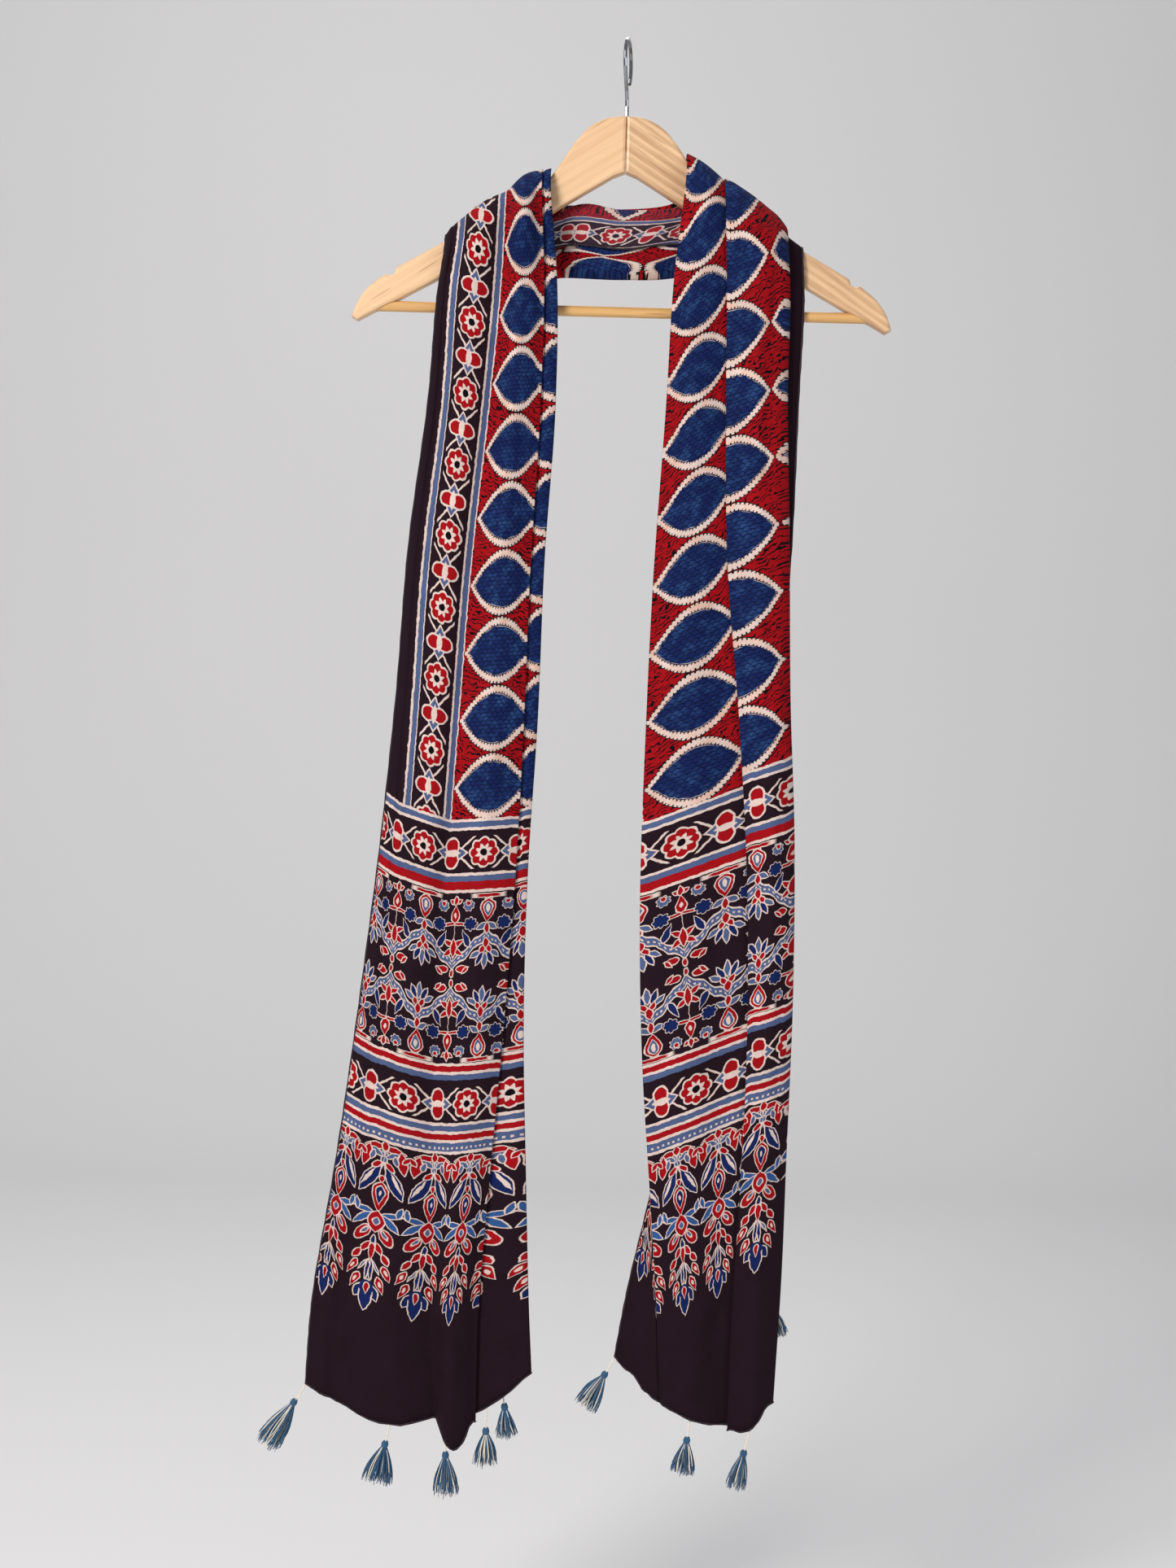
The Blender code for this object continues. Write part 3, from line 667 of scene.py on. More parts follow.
# Bands of the print, in flat millimetres: along is from the nearer hem, across from the nearer selvedge
END_PANEL = 495.0
MARGIN = 79.0
END_BANDS = [(0, None), (219.9, CREAM), (222.3, GREY), (228.3, CREAM), (230.3, RED), (235.3, CREAM),
             (237.3, GREY), (242.3, CREAM), (244.1, None), (279.1, CREAM), (280.9, GREY), (285.8, CREAM),
             (287.6, RED), (292.9, CREAM), (294.9, None), (435.9, CREAM), (437.9, RED), (443.2, CREAM),
             (445.0, GREY), (449.8, CREAM), (451.5, None), (486.5, CREAM), (488.1, GREY), (493.4, CREAM),
             (END_PANEL, None)]
SIDE_BANDS = [(0, None), (30, CREAM), (31.5, GREY), (36.5, CREAM), (38, None), (71, CREAM), (72.5, GREY),
              (77.5, CREAM), (MARGIN, None)]
SIDE_CHAIN = 54.5
END_CHAINS = (261.6, 469.0)
CHAIN_HALF = 17.2
CHAIN_PITCH = 56.0
SIDE_PITCH = 59.0
LENS_WIDE = 67.0
LENS_TALL = 56.0
TRELLIS = (294.9, 435.9)
TRELLIS_UNIT = 56.0
SPRAY_TOP = 219.9
SPRAY_PITCH = 36.5
DOT_BAND = 225.3
RIM = 0.62
DROP_BACK = 1.45
DROP_TAPER = 0.75
PETALS = 4.0
# Lens, as shares of the way from its middle to its edge: dark outline, pale ring, blue middle, thin line
LENS_RING = 0.972
RING_MIDDLE = 0.86
RING_LINE = 0.752
LENS_BLUE = 0.735
LENS_LINE = 0.715
LENS_SLOPE = 1.67
LENS_CURVE = 0.00028
TOOTH_PITCH = 2.9
TOOTH_REACH = 0.062
VEIN_PITCH = 3.7
SCALE_WIDE = 5.2
SCALE_TALL = 3.4
# Chain: rosette and the depth of its lobes, its rim, star and eye, then the half sizes of a bud's arrows
ROSETTE = 11.3
LOBES = 1.9
ROSETTE_RIM = 1.6
STAR = (3.4, 4.4)
EYE = 3.0
ARROW = (14.4, 10.4)
ARROW_FILL = 0.86
# Trellis ribbon: height at the teardrop, slope, wave length and size, half widths, pitch of its dots
RIBBON = (34.0, 0.92, 13.5, 1.3)
RIBBON_HALF = (4.3, 2.9)
RIBBON_DOTS = 3.5
BAND_DOTS = 4.6

# Shapes of one trellis unit, mirrored left and right: kind, place, half sizes, turn, colour, and
# "bare" where it has no outline
# The place is measured from the middle of the teardrop and down from the band
TRELLIS_SHAPES = [
    ("bar", 0, 2.8, 9.5, 1.2, 0, RED),
    ("bar", 0, 6.0, 2.0, 1.0, 0, RED),
    ("drop", 0, 15.0, 9.6, 8.0, -90, RED),
    ("drop", 0, 14.0, 6.0, 4.6, -90, GREY),
    ("oval", 0, 13.0, 1.0, 2.0, 0, CREAM),
    ("leaf", 4.4, 28.0, 4.4, 1.9, 30, GREY),
    ("leaf", 0, 30.0, 4.2, 1.8, 90, RED),
    ("leaf", 8.2, 51.0, 4.8, 1.7, 35, GREY),
    ("leaf", 4.6, 54.5, 5.8, 1.8, 65, INDIGO),
    ("leaf", 0, 56.5, 6.4, 1.9, 90, GREY),
    ("leaf", 2.8, 47.0, 3.4, 1.7, 60, RED),
    ("leaf", 0, 42.0, 4.2, 2.2, 90, RED),
    ("drop", 18.6, 62.4, 5.4, 3.4, 10, RED),
    ("leaf", 16.4, 64.0, 3.4, 1.2, 50, RED),
    ("oval", 28, 66.4, 1.3, 2.5, 0, RED),
    ("bar", 28, 33.0, 0.1, 9.0, 0, CREAM),
    ("bar", 23.0, 25.6, 4.6, 0.9, -6, RED),
    ("leaf", 24.6, 42.0, 5.6, 1.7, 35, RED),
    ("leaf", 24.2, 48.6, 5.4, 1.7, -35, RED),
    ("leaf", 28, 45.6, 7.4, 2.2, 90, RED),
    ("drop", 17.4, 38.0, 7.4, 3.2, 115, INDIGO),
    ("flower", 14.2, 26.0, 5.6, 5.6, 0, INDIGO),
    ("drop", 28, 17.6, 6.8, 4.4, 90, RED),
    ("leaf", 28, 18.6, 2.6, 1.2, 90, CREAM, "bare"),
    ("leaf", 25.6, 7.4, 3.0, 1.2, 30, RED),
    ("leaf", 28, 6.6, 3.8, 1.5, 90, RED),
    ("flower", 16.8, 10.4, 4.5, 4.5, 20, GREY),
    ("oval", 17.0, 8.6, 1.6, 1.6, 0, RED),
]

# Shapes of one hanging spray, mirrored left and right, down from the band
SPRAY_SHAPES = [
    ("leaf", 7.6, 4.6, 7.6, 2.4, 8, RED),
    ("leaf", 13.4, 13.4, 9.0, 3.4, 80, RED),
    ("leaf", 16.0, 10.0, 3.6, 1.6, -50, RED),
    ("leaf", 1.2, 13.0, 6.6, 1.0, 90, GREY),
    ("leaf", 5.6, 9.0, 4.8, 1.7, -30, GREY),
    ("leaf", 8.6, 12.4, 3.8, 1.5, 75, GREY),
    ("leaf", 0, 3.0, 3.6, 2.4, 90, RED),
    ("leaf", 9.0, 31.5, 13.6, 4.4, 60, INDIGO),
    ("leaf", 10.4, 31.0, 9.6, 1.3, 60, CREAM, "bare"),
    ("oval", 4.6, 19.0, 3.8, 1.8, 40, RED),
    ("drop", 0, 30.0, 3.0, 2.0, -90, RED),
    ("leaf", 10.0, 58.0, 7.6, 1.9, -8, SKY),
    ("leaf", 15.6, 54.4, 4.6, 1.6, -75, SKY),
    ("leaf", 10.2, 65.0, 8.6, 2.3, 40, SKY),
    ("drop", 0, 45.0, 12.0, 7.4, -90, RED),
    ("drop", 0, 43.4, 7.4, 4.0, -90, INDIGO),
    ("oval", 0, 42.0, 0.9, 2.0, 0, CREAM, "bare"),
    ("oval", 8.8, 77.0, 7.2, 4.0, 52, RED),
    ("oval", 7.2, 75.0, 3.0, 1.1, 52, GREY),
    ("leaf", 0, 65.4, 8.8, 5.6, 90, RED),
    ("leaf", 0, 65.4, 3.0, 1.9, 90, GREY),
    ("leaf", 0, 81.0, 4.0, 1.5, 90, INDIGO),
    ("leaf", 10.4, 95.0, 4.8, 2.1, 55, RED),
    ("leaf", 4.8, 87.4, 4.8, 1.8, 60, RED),
    ("drop", 0, 90.6, 6.6, 2.7, -90, RED),
    ("leaf", 1.4, 106.0, 8.0, 1.1, 88, INDIGO),
    ("leaf", 5.0, 103.0, 4.6, 0.6, 60, GREY),
    ("drop", 12.8, 106.4, 6.6, 3.2, 242, RED),
    ("oval", 12.6, 105.6, 2.3, 1.0, 62, CREAM, "bare"),
    ("drop", 9.6, 117.0, 6.8, 3.2, 246, RED),
    ("oval", 9.4, 116.0, 2.4, 1.0, 66, CREAM, "bare"),
    ("leaf", 5.6, 124.0, 6.6, 3.0, 62, INDIGO),
    ("leaf", 0, 127.0, 12.8, 4.6, 90, INDIGO),
    ("oval", 0, 120.6, 5.2, 6.0, 0, INDIGO, "bare"),
    ("drop", 0, 121.6, 4.6, 2.3, -90, RED),
]


def shape_value(kind, place, x, y, across, down, turn):
    """1 at a shape's edge and less inside it. A leaf's points lie across, a drop's towards minus across."""
    a, b = split(local(place, x, y, across, down, turn))
    if kind == "oval":
        return (a * a + b * b).op("SQRT")
    if kind == "leaf":
        return a.op("MULTIPLY_ADD", a, b.abs())
    if kind == "drop":
        return a.op("MULTIPLY_ADD", a, (b * (DROP_BACK - a * DROP_TAPER)).abs())
    if kind == "bar":
        return a.abs().high(b.abs())
    petals = (b.op("ARCTAN2", a) * PETALS).op("COSINE").abs()
    return (a * a + b * b).op("SQRT") / petals.op("MULTIPLY_ADD", 0.24, 0.76)


def paint_shapes(tree, colour, place, shapes):
    """Lays printed shapes over a colour, each with its pale outline under it."""
    for kind, x, y, across, down, turn, ink, *bare in shapes:
        value = shape_value(kind, place, x, y, across, down, turn)
        thin = min(across, down)
        soft = 0.35 / thin
        if not bare:
            reach = RIM / max(thin, RIM)
            if kind in ("leaf", "drop"):
                reach = RIM * 1.1 / down + RIM * 0.8 / across
            colour = mix(tree, value.under(1 + reach, soft), colour, CREAM)
        colour = mix(tree, value.under(1.0, soft), colour, ink)
    return colour


def paint_lenses(tree, colour, across_u, along, grain):
    """Rows of eye-shaped lenses that touch, with toothed pale rings and scaly blue middles."""
    x = (across_u - MARGIN).mod(LENS_WIDE) - LENS_WIDE / 2
    y = (along - END_PANEL).mod(LENS_TALL) - LENS_TALL / 2
    far = x * (2 / LENS_WIDE)
    eye = far.op("MULTIPLY_ADD", far, y.abs() * (2 / LENS_TALL))
    place = pair(across_u, along)
    bend = noise(tree, place, 0.11, 2.0)
    gap = noise(tree, local(place, 40, 70, 1.6, 0.7), 0.2, 2.0)
    stroke = ((x * 0.45 + y + bend * 15.0) * (2 * math.pi / VEIN_PITCH)).sin()
    vein = stroke.over(0.42, 0.3) * gap.over(0.44, 0.06)
    colour = mix(tree, vein, colour, INK)
    colour = mix(tree, eye.under(1.0, 0.02), colour, INK)
    proud = (eye - RING_MIDDLE) * (LENS_TALL / 2)
    steep = far * LENS_SLOPE
    foot = x - proud * steep / (steep * steep + 1.0)
    walk = foot + foot * foot * foot * LENS_CURVE
    tooth = ((walk * (1 / TOOTH_PITCH)).mod(1.0) - 0.5).abs().over(0.32, 0.1)
    pale = mix(tree, grain.op("MULTIPLY_ADD", 5.0, -2.3, clamp=True), CREAM, PEACH)
    colour = mix(tree, eye.under(LENS_RING, 0.02), colour, pale)
    tooth = tooth * (eye - RING_MIDDLE).abs().over(TOOTH_REACH, 0.02)
    colour = mix(tree, tooth * eye.under(1.0, 0.02), colour, INK)
    colour = mix(tree, eye.under(RING_LINE, 0.02), colour, SCALE_LINE)
    blue = mix(tree, grain.op("MULTIPLY_ADD", 2.6, -1.2, clamp=True), INDIGO, SKY)
    row = y * (1 / SCALE_TALL)
    level = row.op("FLOOR")
    scale_x = (x * (1 / SCALE_WIDE) + level * 0.5).mod(1.0) - 0.5
    scale_y = row - level
    arc = (scale_x * scale_x * 1.7 + scale_y * scale_y).op("SQRT")
    lines = (arc - 0.62).abs().under(0.12, 0.12)
    blue = mix(tree, lines * 0.85, blue, SCALE_LINE)
    colour = mix(tree, eye.under(LENS_BLUE, 0.02), colour, blue)
    inner = (eye - LENS_LINE).abs().under(0.006, 0.012) * grain.over(0.5, 0.1)
    return mix(tree, inner, colour, CREAM)


def paint_chain(tree, colour, x, y, pitch, where):
    """Rosettes that alternate with buds. x runs along the chain and y across it."""
    rosette = x.mod(pitch) - pitch / 2
    spin = y.op("ARCTAN2", rosette)
    out = (rosette * rosette + y * y).op("SQRT")
    lobes = (spin * PETALS).op("COSINE").abs()
    edge = lobes.op("MULTIPLY_ADD", LOBES, ROSETTE)
    points = spin.op("PINGPONG", math.pi / 8) * (8 / math.pi)
    bud = ((x + pitch / 2).mod(pitch) - pitch / 2).abs()
    side = y.abs()
    feeler = ((bud - 8.0) * 0.66 - (side - 3.6) * 0.75).abs()
    colour = mix(tree, (feeler.under(0.8) * side.between(3.0, 13.4)) * where, colour, CREAM)
    arrow = bud * (1 / ARROW[0]) + side * (1 / ARROW[1])
    lobe = (bud * bud * 0.036 + (side - 5.6) * (side - 5.6) * 0.024).op("SQRT")
    slit = bud * bud * 0.0165 + side * (1 / 2.9)
    star = points.op("MULTIPLY_ADD", *STAR)
    inks = ((arrow.under(1.0, 0.04), CREAM), (arrow.under(ARROW_FILL, 0.04), GREY),
            (lobe.under(1.22, 0.06), CREAM), (lobe.under(0.96, 0.06), RED), (slit.under(1.0, 0.1), CREAM),
            (out.under(edge), CREAM), (out.under(edge - ROSETTE_RIM), RED), (out.under(star), CREAM),
            (out.under(EYE), INK))
    for mask, ink in inks:
        colour = mix(tree, mask * where, colour, ink)
    return colour


def paint_trellis(tree, colour, place, x, y):
    """The wide band: a dotted zigzag ribbon with teardrops, bouquets, palmettes and tulips."""
    height, slope, wave, sway = RIBBON
    ribbon = y - height - x * slope - (x * (2 * math.pi / wave)).sin() * sway
    inside = ribbon.abs()
    colour = mix(tree, inside.under(RIBBON_HALF[0]), colour, CREAM)
    colour = mix(tree, inside.under(RIBBON_HALF[1]), colour, GREY)
    dots = (x.mod(RIBBON_DOTS) - RIBBON_DOTS / 2).abs().high(inside).under(0.75)
    colour = mix(tree, dots, colour, CREAM)
    return paint_shapes(tree, colour, place, TRELLIS_SHAPES)


def print_group():
    """The whole cloth's print from its flat place, as one group that both of its faces use."""
    tree = bpy.data.node_groups.new("ajrakh_print", "ShaderNodeTree")
    tree.interface.new_socket("Place", in_out="INPUT", socket_type="NodeSocketVector")
    tree.interface.new_socket("Colour", in_out="OUTPUT", socket_type="NodeSocketColor")
    tree.interface.new_socket("Ink", in_out="OUTPUT", socket_type="NodeSocketFloat")
    inside = tree.nodes.new("NodeGroupInput")
    outside = tree.nodes.new("NodeGroupOutput")
    flat = Num(tree, inside.outputs["Place"])
    grain = noise(tree, flat, 0.09, 3.0, 0.6)
    wander_x = noise(tree, flat, 0.21, 2.0)
    moved = tree.nodes.new("ShaderNodeMapping")
    feed(tree, moved.inputs["Vector"], flat)
    moved.inputs["Location"].default_value = (311.0, 173.0, 0.0)
    wander_y = noise(tree, moved.outputs[0], 0.21, 2.0)
    raw_u, raw_v = split(flat)
    u = raw_u + wander_x.op("MULTIPLY_ADD", 2.2, -1.1)
    v = raw_v + wander_y.op("MULTIPLY_ADD", 2.2, -1.1)
    across = u.low(FLAT_WIDTH - u)
    along = v.low(FLAT_LENGTH - v)
    right = v.over(FLAT_LENGTH / 2, 1.0)

    in_end = along.under(END_PANEL, 0.3)
    in_field = across.over(MARGIN, 0.3) * along.over(END_PANEL, 0.3)

    veined = paint_lenses(tree, RED, u, along, grain)
    colour = mix(tree, in_field, GROUND, veined)

    low_gap = (along - END_CHAINS[0]).abs()
    high_gap = (along - END_CHAINS[1]).abs()
    end_chain = low_gap.low(high_gap)
    side_chain = across - SIDE_CHAIN
    down_side = along * (CHAIN_PITCH / SIDE_PITCH) + 12.0
    chain_x = mix_value(tree, in_end, down_side, u - SIDE_CHAIN + CHAIN_PITCH / 2)
    chain_y = mix_value(tree, in_end, side_chain, end_chain)
    where = chain_y.abs().under(CHAIN_HALF, 0.3)
    colour = paint_chain(tree, colour, chain_x, chain_y, CHAIN_PITCH, where)

    side_colour, side_on = bands(tree, across, 250.0, SIDE_BANDS)
    colour = mix(tree, side_on * (1.0 - in_end), colour, side_colour)

    trellis_x = ((u - right * 22.4 + 22.4).mod(TRELLIS_UNIT) - TRELLIS_UNIT / 2).abs()
    middle = (TRELLIS[0] + TRELLIS[1]) / 2
    trellis_y = (TRELLIS[1] - TRELLIS[0]) / 2 - (along - middle).abs()
    trellis = paint_trellis(tree, GROUND, pair(trellis_x, trellis_y), trellis_x, trellis_y)
    colour = mix(tree, trellis_y.over(0.0, 0.3), colour, trellis)

    spray_x = ((u + 10.0).mod(SPRAY_PITCH) - SPRAY_PITCH / 2).abs()
    spray_y = SPRAY_TOP - along
    spray = paint_shapes(tree, GROUND, pair(spray_x, spray_y), SPRAY_SHAPES)
    colour = mix(tree, spray_y.over(0.0, 0.3), colour, spray)

    end_colour, end_on = bands(tree, along, 600.0, END_BANDS)
    colour = mix(tree, end_on, colour, end_colour)
    dots = ((u.mod(BAND_DOTS) - BAND_DOTS / 2).abs().high((along - DOT_BAND).abs())).under(0.9)
    colour = mix(tree, dots, colour, CREAM)

    worn = noise(tree, flat, 0.6, 4.0, 0.7)
    blotch = noise(tree, flat, 0.035, 2.0)
    shade = (worn * 0.5 + blotch * 0.5).op("MULTIPLY_ADD", 0.8, 0.44)
    tint = tree.nodes.new("ShaderNodeVectorMath")
    tint.operation = "SCALE"
    feed(tree, tint.inputs[0], colour)
    feed(tree, tint.inputs["Scale"], shade)
    tree.links.new(tint.outputs[0], outside.inputs["Colour"])
    feed(tree, outside.inputs["Ink"], worn)
    return tree


def mix_value(tree, mask, below, above):
    """A number that is below where the mask is 0 and above where it's 1."""
    node = tree.nodes.new("ShaderNodeMix")
    node.data_type = "FLOAT"
    feed(tree, node.inputs[0], mask)
    feed(tree, node.inputs[2], below)
    feed(tree, node.inputs[3], above)
    return Num(tree, node.outputs[0])


def cloth_material(name, pattern, paleness, roughness):
    """Block-printed cloth: the print, uneven ink and a fine plain weave."""
    made, tree, shader = new_material(name)
    flat = tree.nodes.new("ShaderNodeUVMap")
    flat.uv_map = "flat"
    place = Num(tree, flat.outputs[0])
    ink = tree.nodes.new("ShaderNodeGroup")
    ink.node_tree = pattern
    feed(tree, ink.inputs["Place"], place)
    colour = ink.outputs["Colour"]
    if paleness:
        colour = mix(tree, paleness, colour, REVERSE_TINT)
    u, v = split(place)
    warp = (u * (2 * math.pi / WEAVE_PITCH)).sin()
    weft = (v * (2 * math.pi / WEAVE_PITCH)).sin()
    weave = warp * weft
    thread = noise(tree, local(place, 0, 0, 1.0, 9.0), 1.1, 3.0)
    slub = noise(tree, local(place, 0, 0, 9.0, 1.0), 1.1, 3.0)
    yarn = thread * 0.5 + slub * 0.5
    shaded = mix(tree, (weave * 0.10 + yarn * 0.75).op("ADD", 0.08, clamp=True),
                 mix(tree, 1.0, colour, WEAVE_SHADE, "MULTIPLY"), colour)
    feed(tree, shader.inputs["Base Color"], shaded)
    feed(tree, shader.inputs["Roughness"], yarn.op("MULTIPLY_ADD", 0.24, roughness - 0.12))
    shader.inputs["Specular IOR Level"].default_value = 0.06
    shader.inputs["Sheen Weight"].default_value = 0.02
    shader.inputs["Sheen Roughness"].default_value = 0.5
    shader.inputs["Sheen Tint"].default_value = (0.75, 0.7, 0.75, 1.0)
    crumple = noise(tree, place, 0.055, 3.0, 0.55)
    soft = bump(tree, shader, crumple, 0.5, 0.0016)
    bump(tree, shader, weave * 0.5 + yarn, 0.22, 0.0004, soft)
    return made


def hem_material():
    """The dark rolled edge with its small slanted stitches."""
    made, tree, shader = new_material("rolled_hem")
    where = tree.nodes.new("ShaderNodeTexCoord")
    place = tree.nodes.new("ShaderNodeSeparateXYZ")
    tree.links.new(where.outputs["Object"], place.inputs[0])
    x = Num(tree, place.outputs[0])
    stitch = ((x + place.outputs[2]) * (2 * math.pi / 0.0021)).sin()
    fuzz = noise(tree, where.outputs["Object"], 900.0, 3.0)
    colour = mix(tree, fuzz, linear(22, 12, 22), linear(56, 36, 46))
    sewn = mix(tree, stitch.over(0.55, 0.5) * 0.6, colour, linear(12, 7, 14))
    feed(tree, shader.inputs["Base Color"], sewn)
    feed(tree, shader.inputs["Roughness"], fuzz.op("MULTIPLY_ADD", 0.2, 0.72))
    bump(tree, shader, stitch * 0.5 + fuzz, 0.5, 0.0006)
    return made


def yarn_material(name, dark, light):
    """Twisted yarn: two shades along its twist, with fuzz."""
    made, tree, shader = new_material(name)
    where = tree.nodes.new("ShaderNodeTexCoord")
    fuzz = noise(tree, where.outputs["Object"], 1400.0, 3.0, 0.6)
    patch = noise(tree, where.outputs["Object"], 160.0, 2.0)
    feed(tree, shader.inputs["Base Color"], mix(tree, fuzz * 0.6 + patch * 0.5 - 0.05, dark, light))
    feed(tree, shader.inputs["Roughness"], fuzz.op("MULTIPLY_ADD", 0.25, 0.55))
    shader.inputs["Sheen Weight"].default_value = 0.2
    bump(tree, shader, fuzz, 0.5, 0.0004)
    return made


def wood_material(name, tone, streak, fleck, lean, strength, coat):
    """Lacquered wood with its grain laid along a slope given in degrees."""
    made, tree, shader = new_material(name)
    where = tree.nodes.new("ShaderNodeTexCoord")
    turn = tree.nodes.new("ShaderNodeMapping")
    tree.links.new(where.outputs["Object"], turn.inputs["Vector"])
    turn.inputs["Rotation"].default_value = (0, math.radians(lean), 0)
    stretch = tree.nodes.new("ShaderNodeMapping")
    tree.links.new(turn.outputs[0], stretch.inputs["Vector"])
    stretch.inputs["Scale"].default_value = (7.0, 60.0, 130.0)
    place = stretch.outputs[0]
    broad = noise(tree, place, 0.55, 4.0, 0.55)
    fine = noise(tree, place, 3.4, 5.0, 0.65)
    rings = tree.nodes.new("ShaderNodeTexWave")
    rings.wave_type = "BANDS"
    rings.bands_direction = "Z"
    feed(tree, rings.inputs["Vector"], place)
    rings.inputs["Scale"].default_value = 0.34
    rings.inputs["Distortion"].default_value = 5.0
    rings.inputs["Detail"].default_value = 3.0
    ring = Num(tree, rings.outputs["Fac"])
    pores = tree.nodes.new("ShaderNodeTexVoronoi")
    feed(tree, pores.inputs["Vector"], place)
    pores.inputs["Scale"].default_value = 1.9
    pore = Num(tree, pores.outputs["Distance"]).under(0.13, 0.08)
    figure = broad * 0.55 + fine * 0.5 + ring * 0.15
    amount = figure.op("MULTIPLY_ADD", strength * 1.5, -0.62 * strength, clamp=True)
    colour = mix(tree, amount, tone, streak)
    colour = mix(tree, pore * 0.55, colour, fleck)
    feed(tree, shader.inputs["Base Color"], colour)
    feed(tree, shader.inputs["Roughness"], fine.op("MULTIPLY_ADD", 0.2, 0.36))
    shader.inputs["Coat Weight"].default_value = coat
    shader.inputs["Coat Roughness"].default_value = 0.22
    bump(tree, shader, fine - pore * 0.5, 0.16, 0.0005)
    return made


def chrome_material():
    made, tree, shader = new_material("hook_chrome")
    where = tree.nodes.new("ShaderNodeTexCoord")
    haze = noise(tree, where.outputs["Object"], 260.0, 4.0, 0.6)
    feed(tree, shader.inputs["Base Color"], mix(tree, haze, linear(120, 121, 126), linear(170, 171, 175)))
    feed(tree, shader.inputs["Roughness"], haze.op("MULTIPLY_ADD", 0.16, 0.07))
    shader.inputs["Metallic"].default_value = 1.0
    bump(tree, shader, haze, 0.05, 0.0002)
    return made


def plain_material(name, colour, roughness):
    """A matt studio surface with a trace of unevenness."""
    made, tree, shader = new_material(name)
    where = tree.nodes.new("ShaderNodeTexCoord")
    drift = noise(tree, where.outputs["Object"], 0.8, 2.0)
    darker = tuple(c * 0.97 for c in colour[:3]) + (1.0,)
    feed(tree, shader.inputs["Base Color"], mix(tree, drift, colour, darker))
    shader.inputs["Roughness"].default_value = roughness
    return made


def tube(verts, faces, kinds, path, radii, sides, kind):
    """Adds a closed tube along a path to lists of points and faces."""
    start = len(verts)
    for k, (point, radius) in enumerate(zip(path, radii)):
        ahead = (path[min(k + 1, len(path) - 1)] - path[max(k - 1, 0)]).normalized()
        side = ahead.cross(Vector((0.31, 0.95, 0.05))).normalized()
        up = side.cross(ahead)
        for j in range(sides):
            turn = 2 * math.pi * j / sides
            verts.append(point + (side * math.cos(turn) + up * math.sin(turn)) * radius)
    rows = len(path)
    for k in range(rows - 1):
        for j in range(sides):
            a = start + k * sides
            b = start + (k + 1) * sides
            faces.append((a + j, a + (j + 1) % sides, b + (j + 1) % sides, b + j))
            kinds.append(kind)
    faces.append(tuple(start + j for j in range(sides))[::-1])
    faces.append(tuple(start + (rows - 1) * sides + j for j in range(sides)))
    kinds += [kind, kind]


def hem_point(station, line, share):
    """The place on a hem's straight steps at a share of the way from one line to the next, in millimetres."""
    place, row = station[:2]
    if share == 0.0:
        return place(*((row[line][0] + row[line][1]) / 2))
    step = int(share * STEPS[line])
    near, far = (row[line][1].lerp(row[line + 1][0], s) + proud_at(station, line, s)
                 for s in (step / STEPS[line], (step + 1) / STEPS[line]))
    return place(*near.lerp(far, share * STEPS[line] - step))


def make_tassel(spec, hem, materials):
    """A twisted cord, a wound head and a skirt of loose threads."""
    name, _, _, lean, cord, skirt, spread = spec
    draw = random.Random(name)
    way = Vector((lean[0], lean[1], -1.0)).normalized()
    top = hem + Vector((0, 0, -1)) * (CLOTH_THICK / 2 + FIT_GAP)
    head = top + way * cord
    turn = Vector((0, 0, -1)).rotation_difference(way)
    verts, faces, kinds = [], [], []
    line = [top.lerp(head, k / 12) + Vector((0, 0, -1.0)) * math.sin(math.pi * k / 12) for k in range(13)]
    for ply in (0, math.pi):
        path = []
        for k, point in enumerate(line):
            spin = ply + k * 1.15
            path.append(point + Vector((math.cos(spin), math.sin(spin), 0)) * CORD_RADIUS * 0.42)
        tube(verts, faces, kinds, path, [CORD_RADIUS * 0.62] * len(path), 6, 1)
    winds = [Vector((math.cos(k * 0.62), math.sin(k * 0.62), 0)) for k in range(62)]
    for k in (0, 1):
        path = []
        for j, wind in enumerate(winds):
            rise = 1 - 2 * j / (len(winds) - 1)
            wide = HEAD_RADIUS * (0.55 + 0.32 * math.cos(rise * 1.5)) * (1.0 - 0.25 * k)
            path.append(head + turn @ (wind * wide + Vector((0, 0, rise * HEAD_RADIUS * 0.95))))
        tube(verts, faces, kinds, path, [0.55] * len(path), 5, 0)
    core = [head + turn @ Vector((0, 0, h * HEAD_RADIUS)) for h in (1.0, 0.6, 0.0, -0.6, -1.0)]
    tube(verts, faces, kinds, core, [0.8, 2.0, 2.4, 2.1, 1.6], 10, 0)
    for k in range(STRANDS):
        spin = draw.uniform(0, 2 * math.pi)
        out = math.sqrt(draw.random())
        aside = Vector((math.cos(spin), math.sin(spin), 0)) * out
        long = skirt * draw.uniform(0.86, 1.04)
        curl = Vector((draw.uniform(-1, 1), draw.uniform(-1, 1), 0))
        path = []
        for j in range(7):
            t = j / 6
            sway = curl * (1.3 * math.sin(t * math.pi * draw.uniform(0.9, 1.6)) * t)
            flare = 1.9 + (spread - 1.9) * (1 - (1 - t) ** 1.7)
            path.append(head + turn @ (aside * flare + sway + Vector((0, 0, -1.6 - long * t * 0.97))))
        thin = STRAND_RADIUS * draw.uniform(0.8, 1.2)
        tube(verts, faces, kinds, path, [thin * w for w in (1.1, 1.0, 1.0, 1.0, 0.95, 0.85, 0.5)], 4,
             1 if draw.random() < PALE_SHARE else 0)
    mesh = bpy.data.meshes.new(name + "_threads")
    mesh.from_pydata([tuple(v * MM) for v in verts], [], faces)
    for material in materials:
        mesh.materials.append(material)
    mesh.polygons.foreach_set("material_index", kinds)
    mesh.polygons.foreach_set("use_smooth", [len(f) < 5 for f in faces])
    return add_object(name + "_threads", mesh)


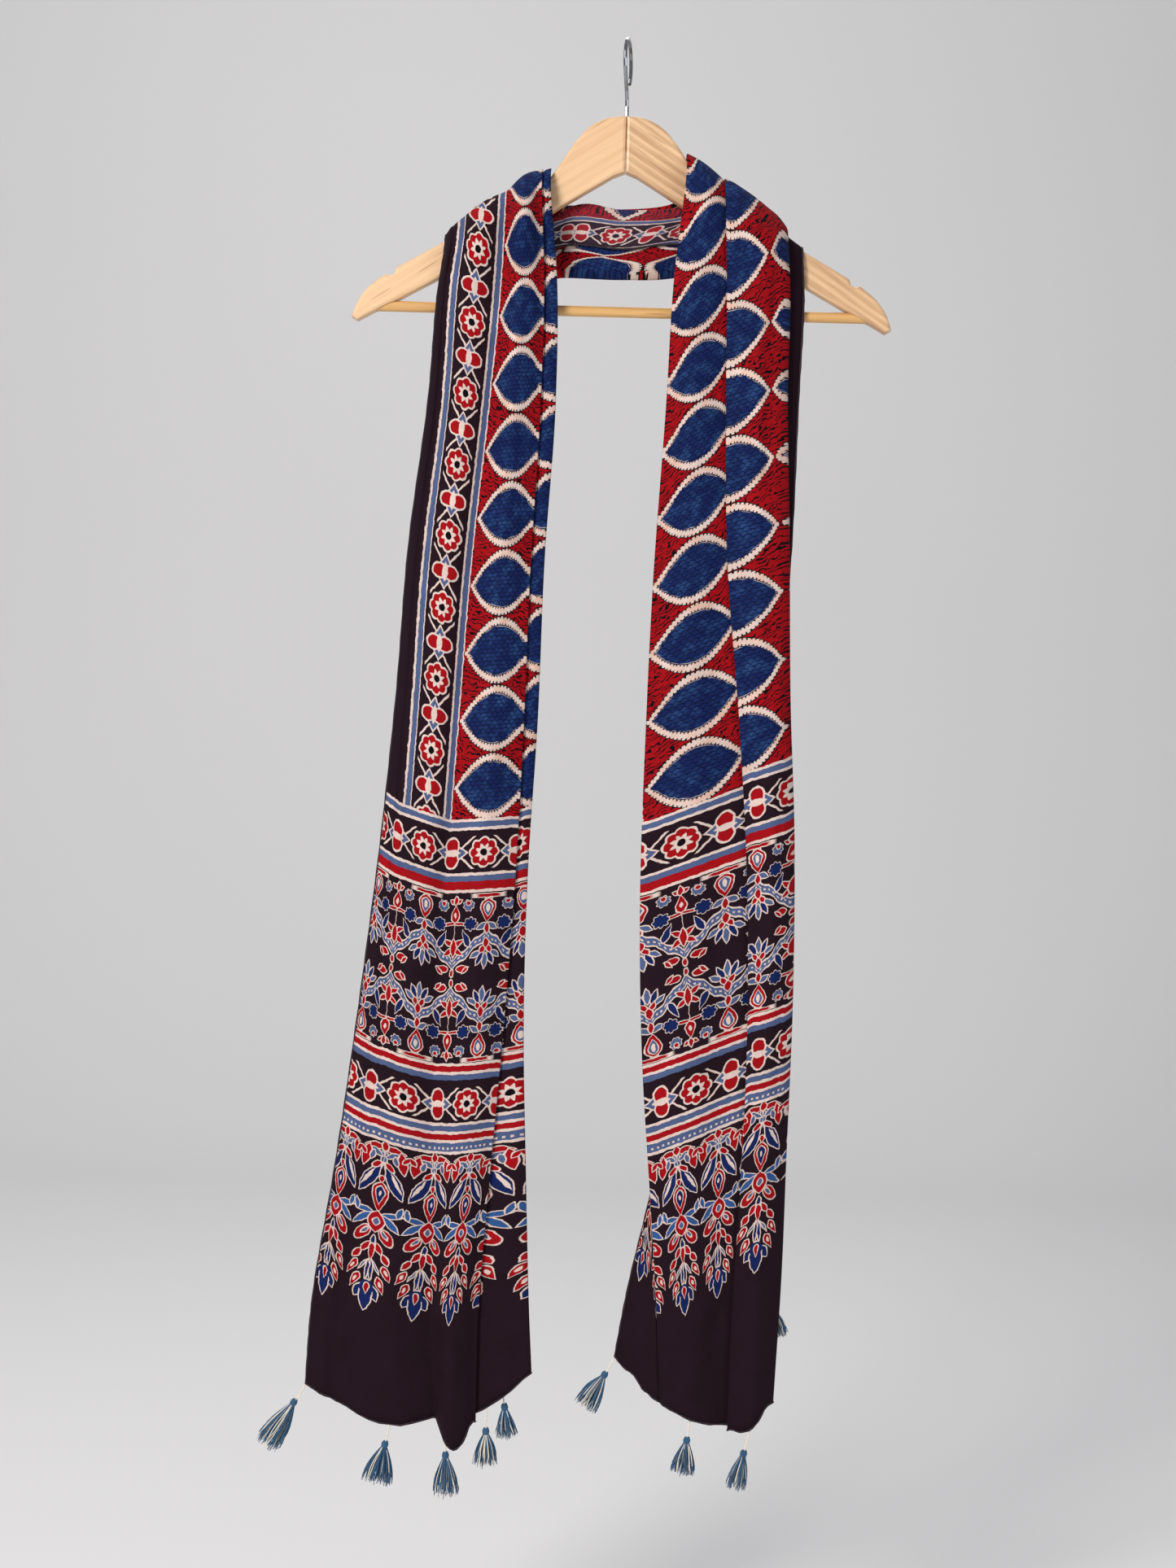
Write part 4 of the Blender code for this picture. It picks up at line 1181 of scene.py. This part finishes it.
def make_stage():
    """A pale floor that sweeps up far behind the object."""
    profile = [(STAGE_FRONT, FLOOR), (STAGE_BACK, FLOOR)]
    for k in range(1, 13):
        turn = math.radians(90 * k / 12)
        profile.append((STAGE_BACK + math.sin(turn), FLOOR + 1.0 - math.cos(turn)))
    profile.append((STAGE_BACK + 1.0, FLOOR + STAGE_HALF))
    verts = [(x, y, z) for y, z in profile for x in (-STAGE_HALF, STAGE_HALF)]
    faces = [(2 * k, 2 * k + 1, 2 * k + 3, 2 * k + 2) for k in range(len(profile) - 1)]
    mesh = bpy.data.meshes.new("studio_sweep")
    mesh.from_pydata(verts, [], faces)
    mesh.polygons.foreach_set("use_smooth", [True] * len(mesh.polygons))
    mesh.materials.append(plain_material("studio_pale", linear(236, 235, 235), 0.9))
    add_object("studio_sweep", mesh)


def add_light(name, place, aim, energy, size, colour):
    data = bpy.data.lights.new(name, "AREA")
    data.energy = energy
    data.shape = "DISK"
    data.size = size
    data.color = colour
    lamp = bpy.data.objects.new(name, data)
    bpy.context.scene.collection.objects.link(lamp)
    lamp.location = place
    lamp.rotation_euler = (Vector(aim) - Vector(place)).to_track_quat("-Z", "Y").to_euler()


def make_camera():
    data = bpy.data.cameras.new("camera")
    data.lens = 36.0 * CAMERA_AWAY / FRAME_TALL
    data.sensor_width = 36.0
    camera = bpy.data.objects.new("camera", data)
    bpy.context.scene.collection.objects.link(camera)
    camera.matrix_world = (Matrix.Translation((CAMERA_X, -CAMERA_AWAY, CAMERA_Z))
                           @ Matrix.Rotation(math.radians(90), 4, "X")
                           @ Matrix.Rotation(math.radians(CAMERA_ROLL), 4, "Z"))
    bpy.context.scene.camera = camera


def light_room():
    scene = bpy.context.scene
    scene.view_settings.view_transform = "Standard"
    world = bpy.data.worlds.new("studio")
    world.use_nodes = True
    world.node_tree.nodes["Background"].inputs["Color"].default_value = (0.93, 0.95, 1.0, 1.0)
    world.node_tree.nodes["Background"].inputs["Strength"].default_value = WORLD_LIGHT
    scene.world = world
    for light in LIGHTS:
        add_light(*light)


def main():
    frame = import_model()
    nodes = frame["nodes"]
    make_camera()
    make_stage()
    light_room()

    pattern = print_group()
    face = cloth_material("printed_face", pattern, 0.0, 0.80)
    reverse = cloth_material("printed_reverse", pattern, 0.16, 0.86)
    sheet = cloth_grid()
    stole = make_stole(sheet, face, reverse)
    hem = make_hem(sheet, hem_material())
    teal = yarn_material("teal_yarn", linear(8, 44, 78), linear(38, 104, 146))
    pale = yarn_material("pale_yarn", linear(206, 194, 176), linear(244, 236, 222))
    tassels = []
    rows = stations()
    for spec in TASSELS:
        station = rows[0] if spec[0].startswith("tassel_l") else rows[-1]
        tassel = make_tassel(spec, hem_point(station, spec[1], spec[2]), (teal, pale))
        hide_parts(spec[0])
        tassels.append(tassel)
    for piece in (stole, hem, *tassels):
        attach(piece, "hanger")
    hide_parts("stole")

    beech = (linear(224, 186, 144), linear(196, 152, 108), linear(150, 108, 72))
    figured = (beech[0], linear(158, 114, 76), beech[2])
    looks = {
        "hanger_arm_left": wood_material("beech_left", *beech, 33.0, 1.0, 0.25),
        "hanger_arm_right": wood_material("beech_right", *figured, -33.0, 1.5, 0.25),
        "hanger_bar": wood_material("honey_bar", linear(214, 168, 104), linear(178, 128, 68),
                                    linear(140, 96, 48), 0.0, 1.1, 0.4),
        "hook": chrome_material(),
    }
    for name, material in looks.items():
        for holder in nodes[name].material_slots:
            holder.material = material


main()
